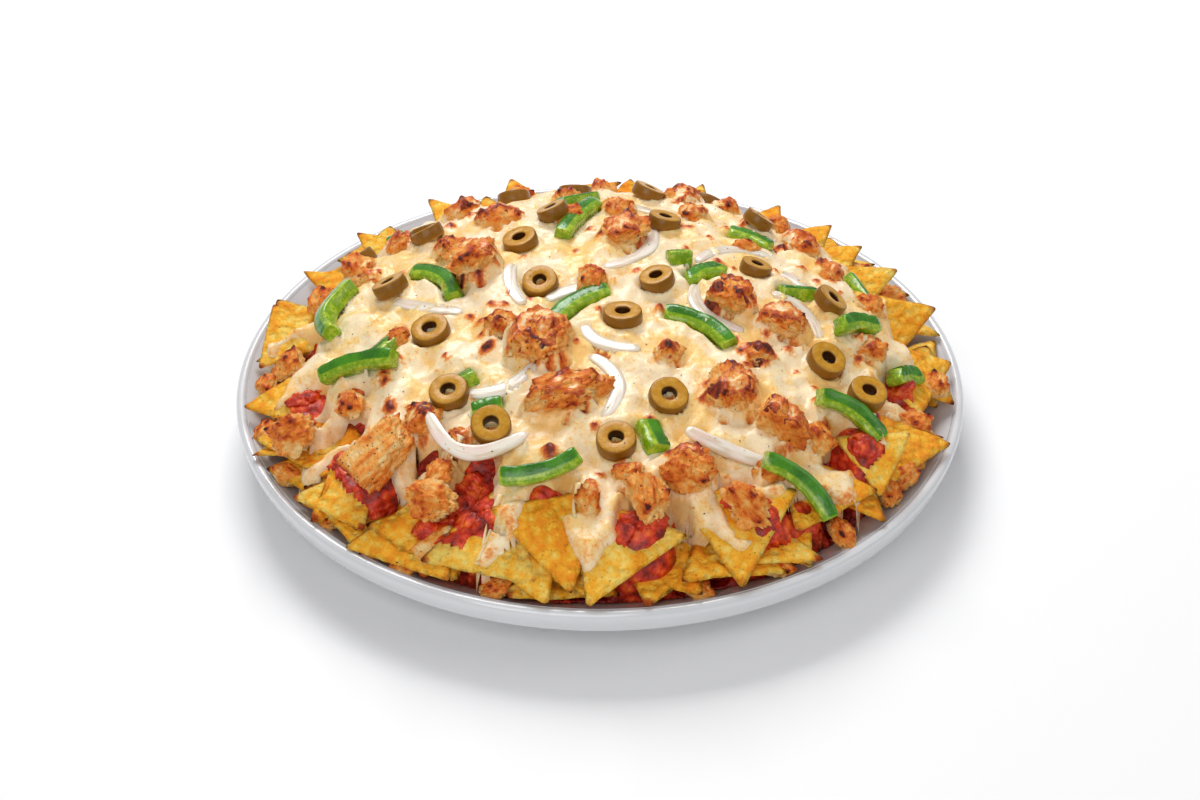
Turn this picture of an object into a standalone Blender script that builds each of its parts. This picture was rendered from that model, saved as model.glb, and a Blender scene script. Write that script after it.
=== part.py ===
"""Nachos baked on a round plate, as closed solids in metres with +Z up.

The origin is the middle of the plate's underside, on the surface it stands on. A heap of
tortilla chips fills the plate, a layer of tomato salsa lies over the chips, melted cheese
lies over the salsa, and slices of olive, green pepper and onion and chunks of chicken rest
on the cheese. Pieces that touch keep GAP between them.
"""

import math
import random
from collections import namedtuple

import bmesh
import bpy
from mathutils import Matrix, Vector
from mathutils.bvhtree import BVHTree

MM = 0.001
GAP = 0.3 * MM
SEED = 11

# The plate: a shallow round dish with a steep rolled rim and a foot ring.
PLATE_RADIUS = 150 * MM
RIM_HEIGHT = 28 * MM
RIM_WIDTH = 4.7 * MM
RIM_BAND = 9 * MM
PLATE_WALL = 4.6 * MM
PLATE_FLOOR = 7 * MM
FLOOR_RADIUS = 95 * MM
WELL_CURVE = 1.8
WELL_SHARES = (1, 0.86, 0.68, 0.45, 0)
FOOT_RADIUS = 84 * MM
FOOT_WIDTH = 7 * MM
FOOT_RECESS = 2.4 * MM
UNDERSIDE_RADII = (FOOT_RADIUS + 3 * MM, 112 * MM, 128 * MM, 140 * MM)
PLATE_SEGMENTS = 40

# The heap: the height of the cheese's top over the plate is a flat-topped dome.
HEAP_RADIUS = 142 * MM
HEAP_RISE = 48 * MM
HEAP_POWER = 2.8
CORE_RADIUS = 131 * MM
CORE_DEPTH = 15 * MM
CORE_SEGMENTS = 30
CORE_RINGS = (0.3, 0.55, 0.75, 0.88, 0.96, 1.0)
CORE_SWELL = 0.022
CORE_ROUGHNESS = 0.7 * MM
CORE_EDGE_DROP = 3 * MM
CORE_OVERLAP = 2 * MM
LAYER_THICKNESS = 2.6 * MM
LAYER_RINGS = (0.28, 0.5, 0.68, 0.82, 0.92, 1.0)
LAYER_LEAST = 0.7
CHEESE_DEPTH = 6.5 * MM
SALSA_DEPTH = 10.5 * MM

# One tortilla chip: a thin bowed triangle, placed by one corner, with its middle line
# heading away from that corner and rising, and rolled about that line.
CHIP_SIDE = 48 * MM
CHIP_THICKNESS = 2.0 * MM
CHIP_BOW = 2.2 * MM
CHIP_STEPS = 2
CHIP_BLUNTNESS = 0.93
CHIP_BOW_ACROSS = 0.6
BED_DEPTH = 15 * MM
BED_SHARE = 0.62
BED_INWARDS = 0.25
Chip = namedtuple("Chip", "x y z heading rise roll size")
CHIPS = (
    Chip(-111, -101, 31, 50, 0, 44, 1.0),
    Chip(-97, -112, 31, 1, 12, 17, 1.0),
    Chip(-33, -98, 38, 252, -10, 0, 1.0),
    Chip(-19, -147, 31, 112, 20, -12, 1.05),
    Chip(-10, -145, 35, 106, 29, 2, 0.95),
    Chip(-5, -148, 31, 64, 26, 8, 1.0),
    Chip(17, -148, 31, 80, -12, 0, 1.0),
    Chip(52, -140, 33, 92, -12, 4, 1.0),
    Chip(76, -121, 31, 118, 14, 0, 0.9),
    Chip(68, -74, 39, 308, -10, 0, 0.9),
    Chip(82, -122, 30, 160, 6, 0, 1.0),
    Chip(107, -91, 34, 95, 30, 0, 0.65),
    Chip(140, -52, 31, 196, 10, -14, 1.0),
    Chip(147, 2, 33, 218, 15, -22, 1.0),
    Chip(142, 24, 45, 200, -8, -40, 1.0),
    Chip(129, 54, 45, 204, -6, -12, 0.9),
    Chip(115, 71, 45, 214, -7, -6, 0.9),
    Chip(103, 88, 45, 222, -8, 0, 0.9),
    Chip(81, 105, 46, 234, -9, 0, 0.9),
    Chip(47, 124, 46, 248, -9, 0, 0.9),
    Chip(14, 129, 46, 264, -9, 0, 0.9),
    Chip(-41, 127, 47, 290, -9, 0, 0.9),
    Chip(-78, 111, 46, 318, -8, 0, 0.9),
    Chip(-63, 114, 46, 290, -9, 0, 0.9),
    Chip(-108, 86, 44, 322, -7, 0, 0.9),
    Chip(-129, 57, 42, 336, -6, 0, 0.9),
    Chip(-108, 8, 38, 176, 3, -16, 0.75),
    Chip(-145, -30, 33, 2, 10, 16, 0.9),
    Chip(-138, -50, 33, -15, 2, -8, 1.0),
    Chip(-138, -59, 29, 20, 6, -10, 0.9),
    Chip(-119, -86, 31, -8, 10, 10, 0.8),
)

# Toppings, in millimetres over the plate and degrees. They are set on the cheese, one kind
# after the other, and each comes to rest on what is already there.
OLIVE_RADIUS = 7.7 * MM
OLIVE_HOLE = 2.9 * MM
OLIVE_THICKNESS = 5.6 * MM
OLIVE_SEGMENTS = 10
Olive = namedtuple("Olive", "x y tip turn size")
OLIVES = (
    Olive(-33, 33, 12, 300, 1.05),
    Olive(-20, 54, 22, 250, 0.95),
    Olive(-86, 12, 14, 200, 1.05),
    Olive(-67, -25, 6, 20, 1.1),
    Olive(-58, -61, 4, 90, 1.1),
    Olive(-41, -83, 12, 60, 1.1),
    Olive(9, -24, 8, 200, 1.1),
    Olive(23, 1, 16, 270, 1.0),
    Olive(27, 50, 10, 120, 1.0),
    Olive(21, 86, 20, 90, 1.0),
    Olive(64, 19, 10, 150, 0.95),
    Olive(93, -2, 14, 100, 1.0),
    Olive(89, -36, 6, 0, 1.1),
    Olive(104, -53, 16, 250, 1.1),
    Olive(26, -68, 6, 30, 1.1),
    Olive(6, -91, 8, 200, 1.1),
    Olive(68, 67, 18, 100, 0.95),
    Olive(-73, 53, 16, 220, 1.0),
)

# A strip of pepper lies from one end to the other, bowed sideways by its sag, with its
# width across the strip; on edge, the wall of the pepper stands up.
PEPPER_WALL = 4.2 * MM
PEPPER_STATIONS = 3
STRIP_TAPER = 0.35
STRIP_SECTION = ((-0.5, -0.3), (0.5, -0.3), (0.5, 0.3), (0.2, 0.5), (-0.2, 0.5), (-0.5, 0.3))
Strip = namedtuple("Strip", "x0 y0 x1 y1 sag width on_edge")
PEPPERS = (
    Strip(-108, 24, -114, -8, -8, 7, 20),
    Strip(-113, -38, -79, -41, 2, 8, 20),
    Strip(-76, 26, -57, -1, 5, 8, 15),
    Strip(-49, -71, -37, -69, 0, 9, 10),
    Strip(-36, -113, -8, -105, -3, 9, 15),
    Strip(-19, -24, 2, -4, 3, 8, 10),
    Strip(-16, 37, -2, 72, 1, 8, 15),
    Strip(36, 6, 49, 16, 3, 8, 10),
    Strip(27, -18, 52, -34, 4, 8, 25),
    Strip(55, 53, 72, 46, 2, 7, 10),
    Strip(95, -22, 112, -14, 3, 8, 20),
    Strip(118, -27, 130, -21, 2, 8, 20),
    Strip(84, -61, 111, -71, 4, 8, 30),
    Strip(62, -92, 89, -111, 4, 10, 30),
)

# An arc of onion bows sideways between its ends.
ONION_HEIGHT = 3.4 * MM
ONION_STATIONS = 7
ONIONS = (
    Strip(-86, 4, -54, -15, -2, 5, 0),
    Strip(-68, -80, -29, -95, -14, 5, 0),
    Strip(0, -45, 5, -78, 9, 5, 0),
    Strip(25, 48, 5, 11, 10, 5, 0),
    Strip(-2, 71, 24, 68, 6, 5, 0),
    Strip(-22, -9, 2, 0, 4, 5, 0),
    Strip(38, 23, 72, 38, 7, 5, 0),
    Strip(71, 5, 91, -19, 6, 5, 0),
    Strip(35, 1, 54, -28, -9, 5, 0),
    Strip(31, -82, 64, -94, -2, 4, 0),
)

# A lump of chicken is a rough ball of unit size, cut off a little under its middle.
CHUNK_ROUGHNESS = 0.13
CHUNK_UNDERSIDE = 0.33
Chunk = namedtuple("Chunk", "x y length width height turn")
CHICKEN = (
    Chunk(-51, 10, 26, 22, 18, 60),
    Chunk(-24, -42, 30, 26, 20, 110),
    Chunk(-14, -70, 30, 22, 16, 20),
    Chunk(10, 36, 24, 20, 14, 60),
    Chunk(-83, -89, 40, 22, 14, 30),
    Chunk(-121, -64, 24, 20, 15, 0),
    Chunk(-64, -111, 24, 18, 14, 150),
    Chunk(33, -104, 24, 22, 17, 80),
    Chunk(18, -121, 20, 18, 14, 100),
    Chunk(55, -114, 24, 18, 15, 140),
    Chunk(71, -77, 26, 20, 15, 130),
    Chunk(51, -62, 24, 20, 16, 90),
    Chunk(72, -19, 24, 20, 14, 20),
    Chunk(52, -10, 24, 20, 16, 110),
)

# Where the cheese runs over the edge: the bearing of each drip, from +X towards +Y.
CHEESE_RADIUS = 119 * MM
CHEESE_SEGMENTS = 40
CHEESE_DRIP = 12 * MM
DRIP_BEARINGS = (76, 97, 133, 208, 220, 250, 266, 281, 305, 318, 334)
DRIP_SPREAD = 5
SALSA_RADIUS = 125 * MM
SALSA_SEGMENTS = 30
EDGE_SHOW = 3 * MM
EDGE_STRIDE = 2 * MM
EDGE_LEAST = 0.8

# Setting a piece down: it starts over its place, and its points stand out a little from its
# middle, so that it stops just short of what is below it.
START_OVER = 10 * MM
DROP_FROM = 40 * MM
DROP_STRIDES = (1.0 * MM, 0.1 * MM)
DROP_GROWTH = 1.015
PROBE_RINGS = (0.35, 0.7, 1.0)
PROBE_TURNS = 12
PROBE_SPREAD = 0.35

# Colour and roughness of each finish.
FINISHES = {
    "porcelain": ((0.86, 0.86, 0.85), 0.15),
    "tortilla": ((0.78, 0.45, 0.09), 0.6),
    "salsa": ((0.36, 0.03, 0.01), 0.25),
    "cheese": ((0.9, 0.78, 0.5), 0.35),
    "onion": ((0.86, 0.82, 0.72), 0.25),
    "green_pepper": ((0.05, 0.25, 0.03), 0.25),
    "chicken": ((0.55, 0.25, 0.1), 0.5),
    "olive": ((0.3, 0.2, 0.03), 0.3),
}


def material(name):
    """The plain finish of one kind of piece."""
    colour, roughness = FINISHES[name]
    finish = bpy.data.materials.new(name)
    finish.use_nodes = True
    shader = finish.node_tree.nodes["Principled BSDF"]
    shader.inputs["Base Color"].default_value = (*colour, 1)
    shader.inputs["Roughness"].default_value = roughness
    shader.inputs["Metallic"].default_value = 0
    return finish


def mesh_from(name, points, faces):
    """A mesh of triangles that all face outwards."""
    mesh = bpy.data.meshes.new(name)
    mesh.from_pydata(points, [], faces)
    shape = bmesh.new()
    shape.from_mesh(mesh)
    bmesh.ops.recalc_face_normals(shape, faces=shape.faces)
    bmesh.ops.triangulate(shape, faces=shape.faces)
    shape.to_mesh(mesh)
    shape.free()
    return mesh


def new_object(name, mesh, finish, location=(0, 0, 0), rotation=None):
    """A named object in the scene, at its place."""
    if finish and finish.name not in mesh.materials:
        mesh.materials.append(finish)
    piece = bpy.data.objects.new(name, mesh)
    bpy.context.scene.collection.objects.link(piece)
    piece.location = location
    if rotation is not None:
        piece.rotation_euler = rotation.to_euler()
    return piece


def turned(name, profile, segments):
    """The closed solid that a profile of (radius, height) points sweeps about +Z."""
    points = []
    rings = []
    for radius, height in profile:
        if radius == 0:
            rings.append([len(points)] * segments)
            points.append((0, 0, height))
            continue
        rings.append(list(range(len(points), len(points) + segments)))
        for step in range(segments):
            angle = math.tau * step / segments
            points.append((radius * math.cos(angle), radius * math.sin(angle), height))
    faces = []
    closing = [] if profile[0][0] == 0 else [(rings[-1], rings[0])]
    for low, high in list(zip(rings, rings[1:])) + closing:
        for step in range(segments):
            following = (step + 1) % segments
            corners = [low[step], low[following], high[following], high[step]]
            faces.append(list(dict.fromkeys(corners)))
    return mesh_from(name, points, faces)


def grid_solid(name, top, bottom):
    """A closed solid between two fans of rings, each given as a middle point and rings."""
    points = []
    faces = []
    middles = []
    layers = []
    for middle, rings in (top, bottom):
        middles.append(len(points))
        points.append(middle)
        layer = []
        for ring in rings:
            layer.append(list(range(len(points), len(points) + len(ring))))
            points.extend(ring)
        layers.append(layer)
    count = len(layers[0][0])
    for middle, layer, flip in zip(middles, layers, (False, True)):
        for step in range(count):
            following = (step + 1) % count
            fan = [middle, layer[0][step], layer[0][following]]
            faces.append(fan[::-1] if flip else fan)
            for inner, outer in zip(layer, layer[1:]):
                corners = [inner[step], outer[step], outer[following], inner[following]]
                faces.append(corners[::-1] if flip else corners)
    for step in range(count):
        following = (step + 1) % count
        upper, lower = layers[0][-1], layers[1][-1]
        faces.append([upper[step], lower[step], lower[following], upper[following]])
    return mesh_from(name, points, faces)


def evaluated_mesh(piece):
    """A copy of the piece's mesh with its modifiers carried out."""
    graph = bpy.context.evaluated_depsgraph_get()
    return bpy.data.meshes.new_from_object(piece.evaluated_get(graph))


def carve(piece, operation, others):
    """Join the others to the piece or cut them from it, and remove them."""
    helpers = bpy.data.collections.new("helpers")
    bpy.context.scene.collection.children.link(helpers)
    for other in others:
        helpers.objects.link(other)
    step = piece.modifiers.new(operation.lower(), "BOOLEAN")
    step.operation = operation
    step.operand_type = "COLLECTION"
    step.collection = helpers
    bpy.context.view_layer.update()
    result = evaluated_mesh(piece)
    piece.modifiers.clear()
    piece.data = result
    for other in others:
        bpy.data.objects.remove(other)
    bpy.data.collections.remove(helpers)


def keep_largest_body(mesh):
    """Triangulate a mesh, weld its points and drop all but its largest connected body."""
    shape = bmesh.new()
    shape.from_mesh(mesh)
    bmesh.ops.remove_doubles(shape, verts=shape.verts, dist=0.01 * MM)
    bmesh.ops.triangulate(shape, faces=shape.faces)
    unseen = set(shape.verts)
    bodies = []
    while unseen:
        body = []
        waiting = [unseen.pop()]
        while waiting:
            vertex = waiting.pop()
            body.append(vertex)
            for edge in vertex.link_edges:
                other = edge.other_vert(vertex)
                if other in unseen:
                    unseen.remove(other)
                    waiting.append(other)
        bodies.append(body)
    bodies.sort(key=len)
    for body in bodies[:-1]:
        bmesh.ops.delete(shape, geom=body, context="VERTS")
    shape.to_mesh(mesh)
    shape.free()


def plate_top(distance):
    """Height of the plate's upper face at a distance from its middle."""
    climb = max(0, distance - FLOOR_RADIUS) / (PLATE_RADIUS - RIM_WIDTH - FLOOR_RADIUS)
    return PLATE_FLOOR + (RIM_HEIGHT - MM - PLATE_FLOOR) * climb**WELL_CURVE


def heap_height(distance):
    """Height of the dome that the cheese's top follows."""
    share = min(distance, HEAP_RADIUS) / HEAP_RADIUS
    return RIM_HEIGHT + HEAP_RISE * (1 - share**HEAP_POWER)


def heap_normal(x, y):
    """Unit normal of that dome."""
    distance = max(math.hypot(x, y), MM)
    slope = heap_height(distance + MM) - heap_height(distance)
    return Vector((-x / distance * slope, -y / distance * slope, MM)).normalized()


def plate_well():
    """(radius, height) points of the plate's upper face inside its rim, inwards."""
    inner = PLATE_RADIUS - RIM_WIDTH
    radii = [FLOOR_RADIUS + share * (inner - FLOOR_RADIUS) for share in WELL_SHARES]
    return [(radius, plate_top(radius)) for radius in radii]


def plate_profile():
    """(radius, height) points of the plate, from its middle below, out and back in."""
    foot_inner = FOOT_RADIUS - FOOT_WIDTH
    below = [(0, FOOT_RECESS), (foot_inner - 2 * MM, FOOT_RECESS), (foot_inner, 0), (FOOT_RADIUS, 0)]
    for radius in UNDERSIDE_RADII:
        below.append((radius, plate_top(radius) - PLATE_WALL))
    rim = [
        (PLATE_RADIUS - 3.2 * MM, RIM_HEIGHT - RIM_BAND),
        (PLATE_RADIUS - 1 * MM, RIM_HEIGHT - 0.55 * RIM_BAND),
        (PLATE_RADIUS, RIM_HEIGHT - 1.6 * MM),
        (PLATE_RADIUS - 0.8 * MM, RIM_HEIGHT - 0.3 * MM),
        (PLATE_RADIUS - 2 * MM, RIM_HEIGHT),
        (PLATE_RADIUS - 0.85 * RIM_WIDTH, RIM_HEIGHT - 0.2 * MM),
    ]
    return below + rim + plate_well() + [(0, PLATE_FLOOR)]


def make_plate(finish):
    """The plate that carries everything."""
    return new_object("plate", turned("plate", plate_profile(), PLATE_SEGMENTS), finish)


def plate_clearance():
    """The space the plate takes with GAP over its upper face, as a cutter."""
    margin = 1.3 * GAP
    beyond = PLATE_RADIUS + 10 * MM
    lip = [(beyond, RIM_HEIGHT), (PLATE_RADIUS - 2 * MM, RIM_HEIGHT)]
    upper = [(radius, height + margin) for radius, height in lip + plate_well() + [(0, PLATE_FLOOR)]]
    profile = [(0, -MM), (beyond, -MM)] + upper
    cutter = new_object("plate_clearance", turned("plate_clearance", profile, PLATE_SEGMENTS), None)
    cutter.display_type = "WIRE"
    cutter.hide_render = True
    return cutter


def chip_mesh(name, side, bow):
    """A thin bowed triangle with blunt corners, one corner at the origin, along +X."""
    length = side * math.sqrt(3) / 2
    rows = []
    points = []
    for level in (-0.5, 0.5):
        layer = []
        for row in range(CHIP_STEPS + 1):
            line = []
            for column in range(row + 1):
                along = row / CHIP_STEPS
                across = (column - row / 2) / CHIP_STEPS
                corner = (row == 0) or (row == CHIP_STEPS and column in (0, row))
                pull = CHIP_BLUNTNESS if corner else 1.0
                x = 2 / 3 + (along - 2 / 3) * pull
                lift = bow * (1 - 4 * across**2) * CHIP_BOW_ACROSS
                lift += bow * (1 - CHIP_BOW_ACROSS) * (1 - (2 * along - 1) ** 2)
                line.append(len(points))
                points.append((x * length, across * pull * side, lift + level * CHIP_THICKNESS))
            layer.append(line)
        rows.append(layer)
    faces = []
    for layer, flip in zip(rows, (True, False)):
        for row in range(CHIP_STEPS):
            for column in range(row + 1):
                near, far = layer[row], layer[row + 1]
                cells = [[near[column], far[column], far[column + 1]]]
                if column < row:
                    cells.append([near[column], far[column + 1], near[column + 1]])
                faces.extend(cell[::-1] if flip else cell for cell in cells)
    under, over = rows
    rim = [line[0] for line in under] + under[-1][1:] + [line[-1] for line in under[-2:0:-1]]
    lift_by = over[0][0] - under[0][0]
    for here, following in zip(rim, rim[1:] + rim[:1]):
        faces.append([here, following, following + lift_by, here + lift_by])
    return mesh_from(name, points, faces)


def chip_axes(chip):
    """The chip's rotation: +X along its middle line, +Z out of its upper face."""
    heading, rise, roll = (math.radians(angle) for angle in (chip.heading, chip.rise, chip.roll))
    return (
        Matrix.Rotation(heading, 3, "Z") @ Matrix.Rotation(-rise, 3, "Y") @ Matrix.Rotation(roll, 3, "X")
    )


def chip_bed(name, chip):
    """The packed filling that carries one chip: a prism from inside it down into the heap."""
    axes = chip_axes(chip)
    corner = Vector((chip.x, chip.y, chip.z)) * MM
    side = CHIP_SIDE * chip.size
    length = side * math.sqrt(3) / 2
    far_ends = [corner + axes @ Vector((length, half, 0)) for half in (side / 2, -side / 2)]
    corners = [corner, *far_ends]
    middle = sum(corners, Vector()) / 3
    inwards = Vector((-middle.x, -middle.y, 0)).normalized()
    points = []
    for drop in (0, BED_DEPTH):
        for spot in corners:
            place = middle + (spot - middle) * BED_SHARE + inwards * (BED_INWARDS * drop)
            points.append((place.x, place.y, max(place.z - drop, plate_top(place.xy.length))))
    faces = [(0, 1, 2), (5, 4, 3), (0, 3, 4, 1), (1, 4, 5, 2), (2, 5, 3, 0)]
    return mesh_from(name, points, faces), middle


def make_chip_heap(finish, dice):
    """The heap of chips: an uneven core with whole chips round its edge, as one solid."""
    swells = [1 + CORE_SWELL * dice.uniform(-1, 1) for _ in range(CORE_SEGMENTS)]
    top_rings = []
    bottom_rings = []
    for fraction in CORE_RINGS:
        upper = []
        lower = []
        for step, swell in enumerate(swells):
            angle = math.tau * step / CORE_SEGMENTS
            distance = CORE_RADIUS * fraction * (1 + (swell - 1) * fraction)
            x, y = distance * math.cos(angle), distance * math.sin(angle)
            edge_drop = CORE_EDGE_DROP if fraction == 1.0 else 0
            rough = dice.uniform(-CORE_ROUGHNESS, CORE_ROUGHNESS)
            upper.append((x, y, heap_height(distance) - CORE_DEPTH - edge_drop + rough))
            lower.append((x, y, plate_top(distance) - CORE_OVERLAP))
        top_rings.append(upper)
        bottom_rings.append(lower)
    top = ((0, 0, heap_height(0) - CORE_DEPTH), top_rings)
    bottom = ((0, 0, PLATE_FLOOR - CORE_OVERLAP), bottom_rings)
    heap = new_object("chip_heap", grid_solid("chip_heap", top, bottom), finish)
    additions = []
    for number, chip in enumerate(CHIPS, 1):
        mesh = chip_mesh(f"chip_{number}", CHIP_SIDE * chip.size, CHIP_BOW * dice.uniform(-1, 1))
        place = Vector((chip.x, chip.y, chip.z)) * MM
        additions.append(new_object(f"chip_{number}", mesh, finish, place, chip_axes(chip)))
        bed, middle = chip_bed(f"bed_{number}", chip)
        if middle.z > heap_height(middle.xy.length) - CORE_DEPTH - MM:
            additions.append(new_object(f"bed_{number}", bed, finish))
    carve(heap, "UNION", additions)
    carve(heap, "DIFFERENCE", [plate_clearance()])
    keep_largest_body(heap.data)
    return heap


class Tray:
    """What lies on the plate so far: measures heights over it and sets new pieces on it."""

    PROBE = 400 * MM

    def __init__(self):
        self.trees = []

    def add(self, piece):
        """Take a placed piece into account from now on."""
        bpy.context.view_layer.update()
        points = [piece.matrix_world @ vertex.co for vertex in piece.data.vertices]
        faces = [tuple(face.vertices) for face in piece.data.polygons]
        low = Vector(map(min, *points))
        high = Vector(map(max, *points))
        self.trees.append((BVHTree.FromPolygons(points, faces), low, high))

    def height(self, x, y):
        """The highest point of any piece on the vertical line through (x, y)."""
        top = plate_top(math.hypot(x, y))
        for tree, _, _ in self.trees:
            hit = tree.ray_cast(Vector((x, y, self.PROBE)), Vector((0, 0, -1)))
            if hit[0]:
                top = max(top, hit[0].z)
        return top

    def envelope(self, x, y, reach):
        """The highest point of any piece within reach of the vertical line."""
        steps = [(0, 0)]
        for ring in PROBE_RINGS:
            for turn in range(PROBE_TURNS):
                angle = math.tau * turn / PROBE_TURNS
                steps.append((ring * reach * math.cos(angle), ring * reach * math.sin(angle)))
        return max(self.height(x + dx, y + dy) for dx, dy in steps)

    def touching(self, points, faces):
        """The numbers of those faces that meet any placed piece."""
        tree = BVHTree.FromPolygons(points, faces)
        low = Vector(map(min, *points))
        high = Vector(map(max, *points))
        found = set()
        for other, other_low, other_high in self.trees:
            if all(high[k] >= other_low[k] and low[k] <= other_high[k] for k in range(3)):
                found.update(pair[0] for pair in tree.overlap(other))
        return found

    def lift_clear(self, mesh, least):
        """Raise the points of a layer's faces, least thick, until they clear what is below."""
        faces = [tuple(face.vertices) for face in mesh.polygons]
        half = len(mesh.vertices) // 2
        while True:
            points = [vertex.co for vertex in mesh.vertices]
            found = self.touching(points, faces)
            if not found:
                break
            for number in set().union(*(faces[face] for face in found)):
                mesh.vertices[number].co.z += GAP
            for upper, lower in zip(mesh.vertices[:half], mesh.vertices[half:]):
                upper.co.z = max(upper.co.z, lower.co.z + least)
        for vertex in mesh.vertices:
            vertex.co.z += GAP

    def settle(self, piece):
        """Lower a piece until it nearly meets what is under it."""
        bpy.context.view_layer.update()
        matrix = piece.matrix_world.to_3x3()
        grown = [matrix @ (vertex.co * DROP_GROWTH) for vertex in piece.data.vertices]
        faces = [tuple(face.vertices) for face in piece.data.polygons]
        place = piece.location.copy()
        place.z += DROP_FROM
        for stride in DROP_STRIDES:
            while place.z > 0:
                lower = place - Vector((0, 0, stride))
                if self.touching([lower + point for point in grown], faces):
                    break
                place = lower
        piece.location = place + Vector((0, 0, GAP))
        self.add(piece)


def blanket(name, finish, tray, radius, segments, depth, outline):
    """A layer that lies over all that is on the tray, with its top near the dome."""
    bearings = [math.tau * step / segments for step in range(segments)]
    reaches = []
    for angle in bearings:
        reach = outline(math.degrees(angle)) * radius
        while reach > EDGE_LEAST * radius:
            x, y = reach * math.cos(angle), reach * math.sin(angle)
            if tray.height(x, y) < heap_height(reach) - depth + EDGE_SHOW:
                break
            reach -= EDGE_STRIDE
        reaches.append(reach)
    top_rings = []
    bottom_rings = []
    for fraction in LAYER_RINGS:
        upper = []
        lower = []
        for angle, reach in zip(bearings, reaches):
            distance = reach * fraction
            x, y = distance * math.cos(angle), distance * math.sin(angle)
            spacing = PROBE_SPREAD * math.tau * distance / segments
            base = tray.envelope(x, y, spacing)
            cover = LAYER_THICKNESS * (LAYER_LEAST if fraction == 1.0 else 1.0)
            crown = heap_height(distance) - depth if fraction < 1.0 else 0
            upper.append((x, y, max(crown, base + cover)))
            lower.append((x, y, base))
        top_rings.append(upper)
        bottom_rings.append(lower)
    base = tray.envelope(0, 0, 0.1 * radius)
    top = ((0, 0, max(heap_height(0) - depth, base + LAYER_THICKNESS)), top_rings)
    mesh = grid_solid(name, top, ((0, 0, base), bottom_rings))
    tray.lift_clear(mesh, LAYER_LEAST * LAYER_THICKNESS)
    layer = new_object(name, mesh, finish)
    tray.add(layer)
    return layer


def salsa_outline(bearing):
    """How far the salsa spreads on a bearing, as a share of its radius."""
    angle = math.radians(bearing)
    return 1 - 0.06 * math.sin(angle) + 0.02 * math.sin(5 * angle + 1) + 0.015 * math.sin(11 * angle)


def cheese_outline(bearing):
    """How far the cheese spreads on a bearing, with the drips over its edge."""
    angle = math.radians(bearing)
    share = 1 - 0.04 * math.sin(angle) + 0.03 * math.cos(2 * angle) + 0.02 * math.sin(7 * angle + 2)
    for drip in DRIP_BEARINGS:
        apart = (bearing - drip + 180) % 360 - 180
        share += CHEESE_DRIP / CHEESE_RADIUS * math.exp(-((apart / DRIP_SPREAD) ** 2))
    return share


def strip_mesh(name, length, sag, width, height, stations, lean, fall):
    """A strip along +X, bowed by its sag towards +Y, leaning over and laid along a fall.

    fall gives how far the heap lies below the strip's own flat plane at a point of it.
    """
    points = []
    sections = []
    for station in range(stations + 1):
        share = 2 * station / stations - 1
        x = share * length / 2
        y = sag * (1 - share**2) - sag / 2
        slope = math.atan2(-2 * sag * share, length / 2)
        taper = 1 - STRIP_TAPER * abs(share) ** 4
        drop = fall(x, y)
        turn = Matrix.Rotation(lean, 2)
        section = []
        for corner in STRIP_SECTION:
            side, up = turn @ Vector((corner[0] * width * taper, corner[1] * height * taper))
            section.append(len(points))
            points.append((x - math.sin(slope) * side, y + math.cos(slope) * side, up - drop))
        sections.append(section)
    faces = [sections[0], sections[-1][::-1]]
    for near, far in zip(sections, sections[1:]):
        for side in range(len(near)):
            following = (side + 1) % len(near)
            faces.append([near[side], near[following], far[following], far[side]])
    return mesh_from(name, points, faces)


def on_heap(x, y, turn, lean=0.0):
    """A place over the dome and a rotation: +Z along the dome's normal, then turned."""
    place = Vector((x, y, 0)) * MM
    place.z = heap_height(place.xy.length) + START_OVER
    normal = heap_normal(place.x, place.y)
    heading = Vector((math.cos(math.radians(turn)), math.sin(math.radians(turn)), 0))
    along = (heading - normal * heading.dot(normal)).normalized()
    axes = Matrix((along, normal.cross(along), normal)).transposed()
    return place, axes @ Matrix.Rotation(math.radians(lean), 3, "X")


def lay_strip(name, strip, width, height, stations, finish, tray):
    """Set one strip of onion or pepper on what is already there."""
    dx, dy = strip.x1 - strip.x0, strip.y1 - strip.y0
    length = math.hypot(dx, dy) * MM
    middle = ((strip.x0 + strip.x1) / 2, (strip.y0 + strip.y1) / 2)
    place, axes = on_heap(*middle, math.degrees(math.atan2(dy, dx)))
    level = place.z - heap_height(place.xy.length)

    def fall(x, y):
        spot = place + axes @ Vector((x, y, 0))
        return (spot.z - level - heap_height(spot.xy.length)) * axes[2][2]

    lean = math.radians(strip.on_edge)
    mesh = strip_mesh(name, length, strip.sag * MM, width, height, stations, lean, fall)
    piece = new_object(name, mesh, finish, place, axes)
    tray.settle(piece)
    return piece


def olive_mesh():
    """A slice across a pitted olive: a short thick ring."""
    half = OLIVE_THICKNESS / 2
    shoulder = 0.8 * half
    outside = [(OLIVE_RADIUS, -shoulder), (OLIVE_RADIUS, shoulder)]
    profile = [(OLIVE_HOLE, -half), *outside, (OLIVE_HOLE, half)]
    return turned("olive_slice", profile, OLIVE_SEGMENTS)


def make_olives(finish, tray):
    """Olive slices, each tipped a little on the heap."""
    for number, olive in enumerate(OLIVES, 1):
        place, axes = on_heap(olive.x, olive.y, olive.turn, olive.tip)
        mesh = olive_mesh()
        mesh.transform(Matrix.Scale(olive.size, 4))
        tray.settle(new_object(f"olive_{number:02d}", mesh, finish, place, axes))


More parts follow.
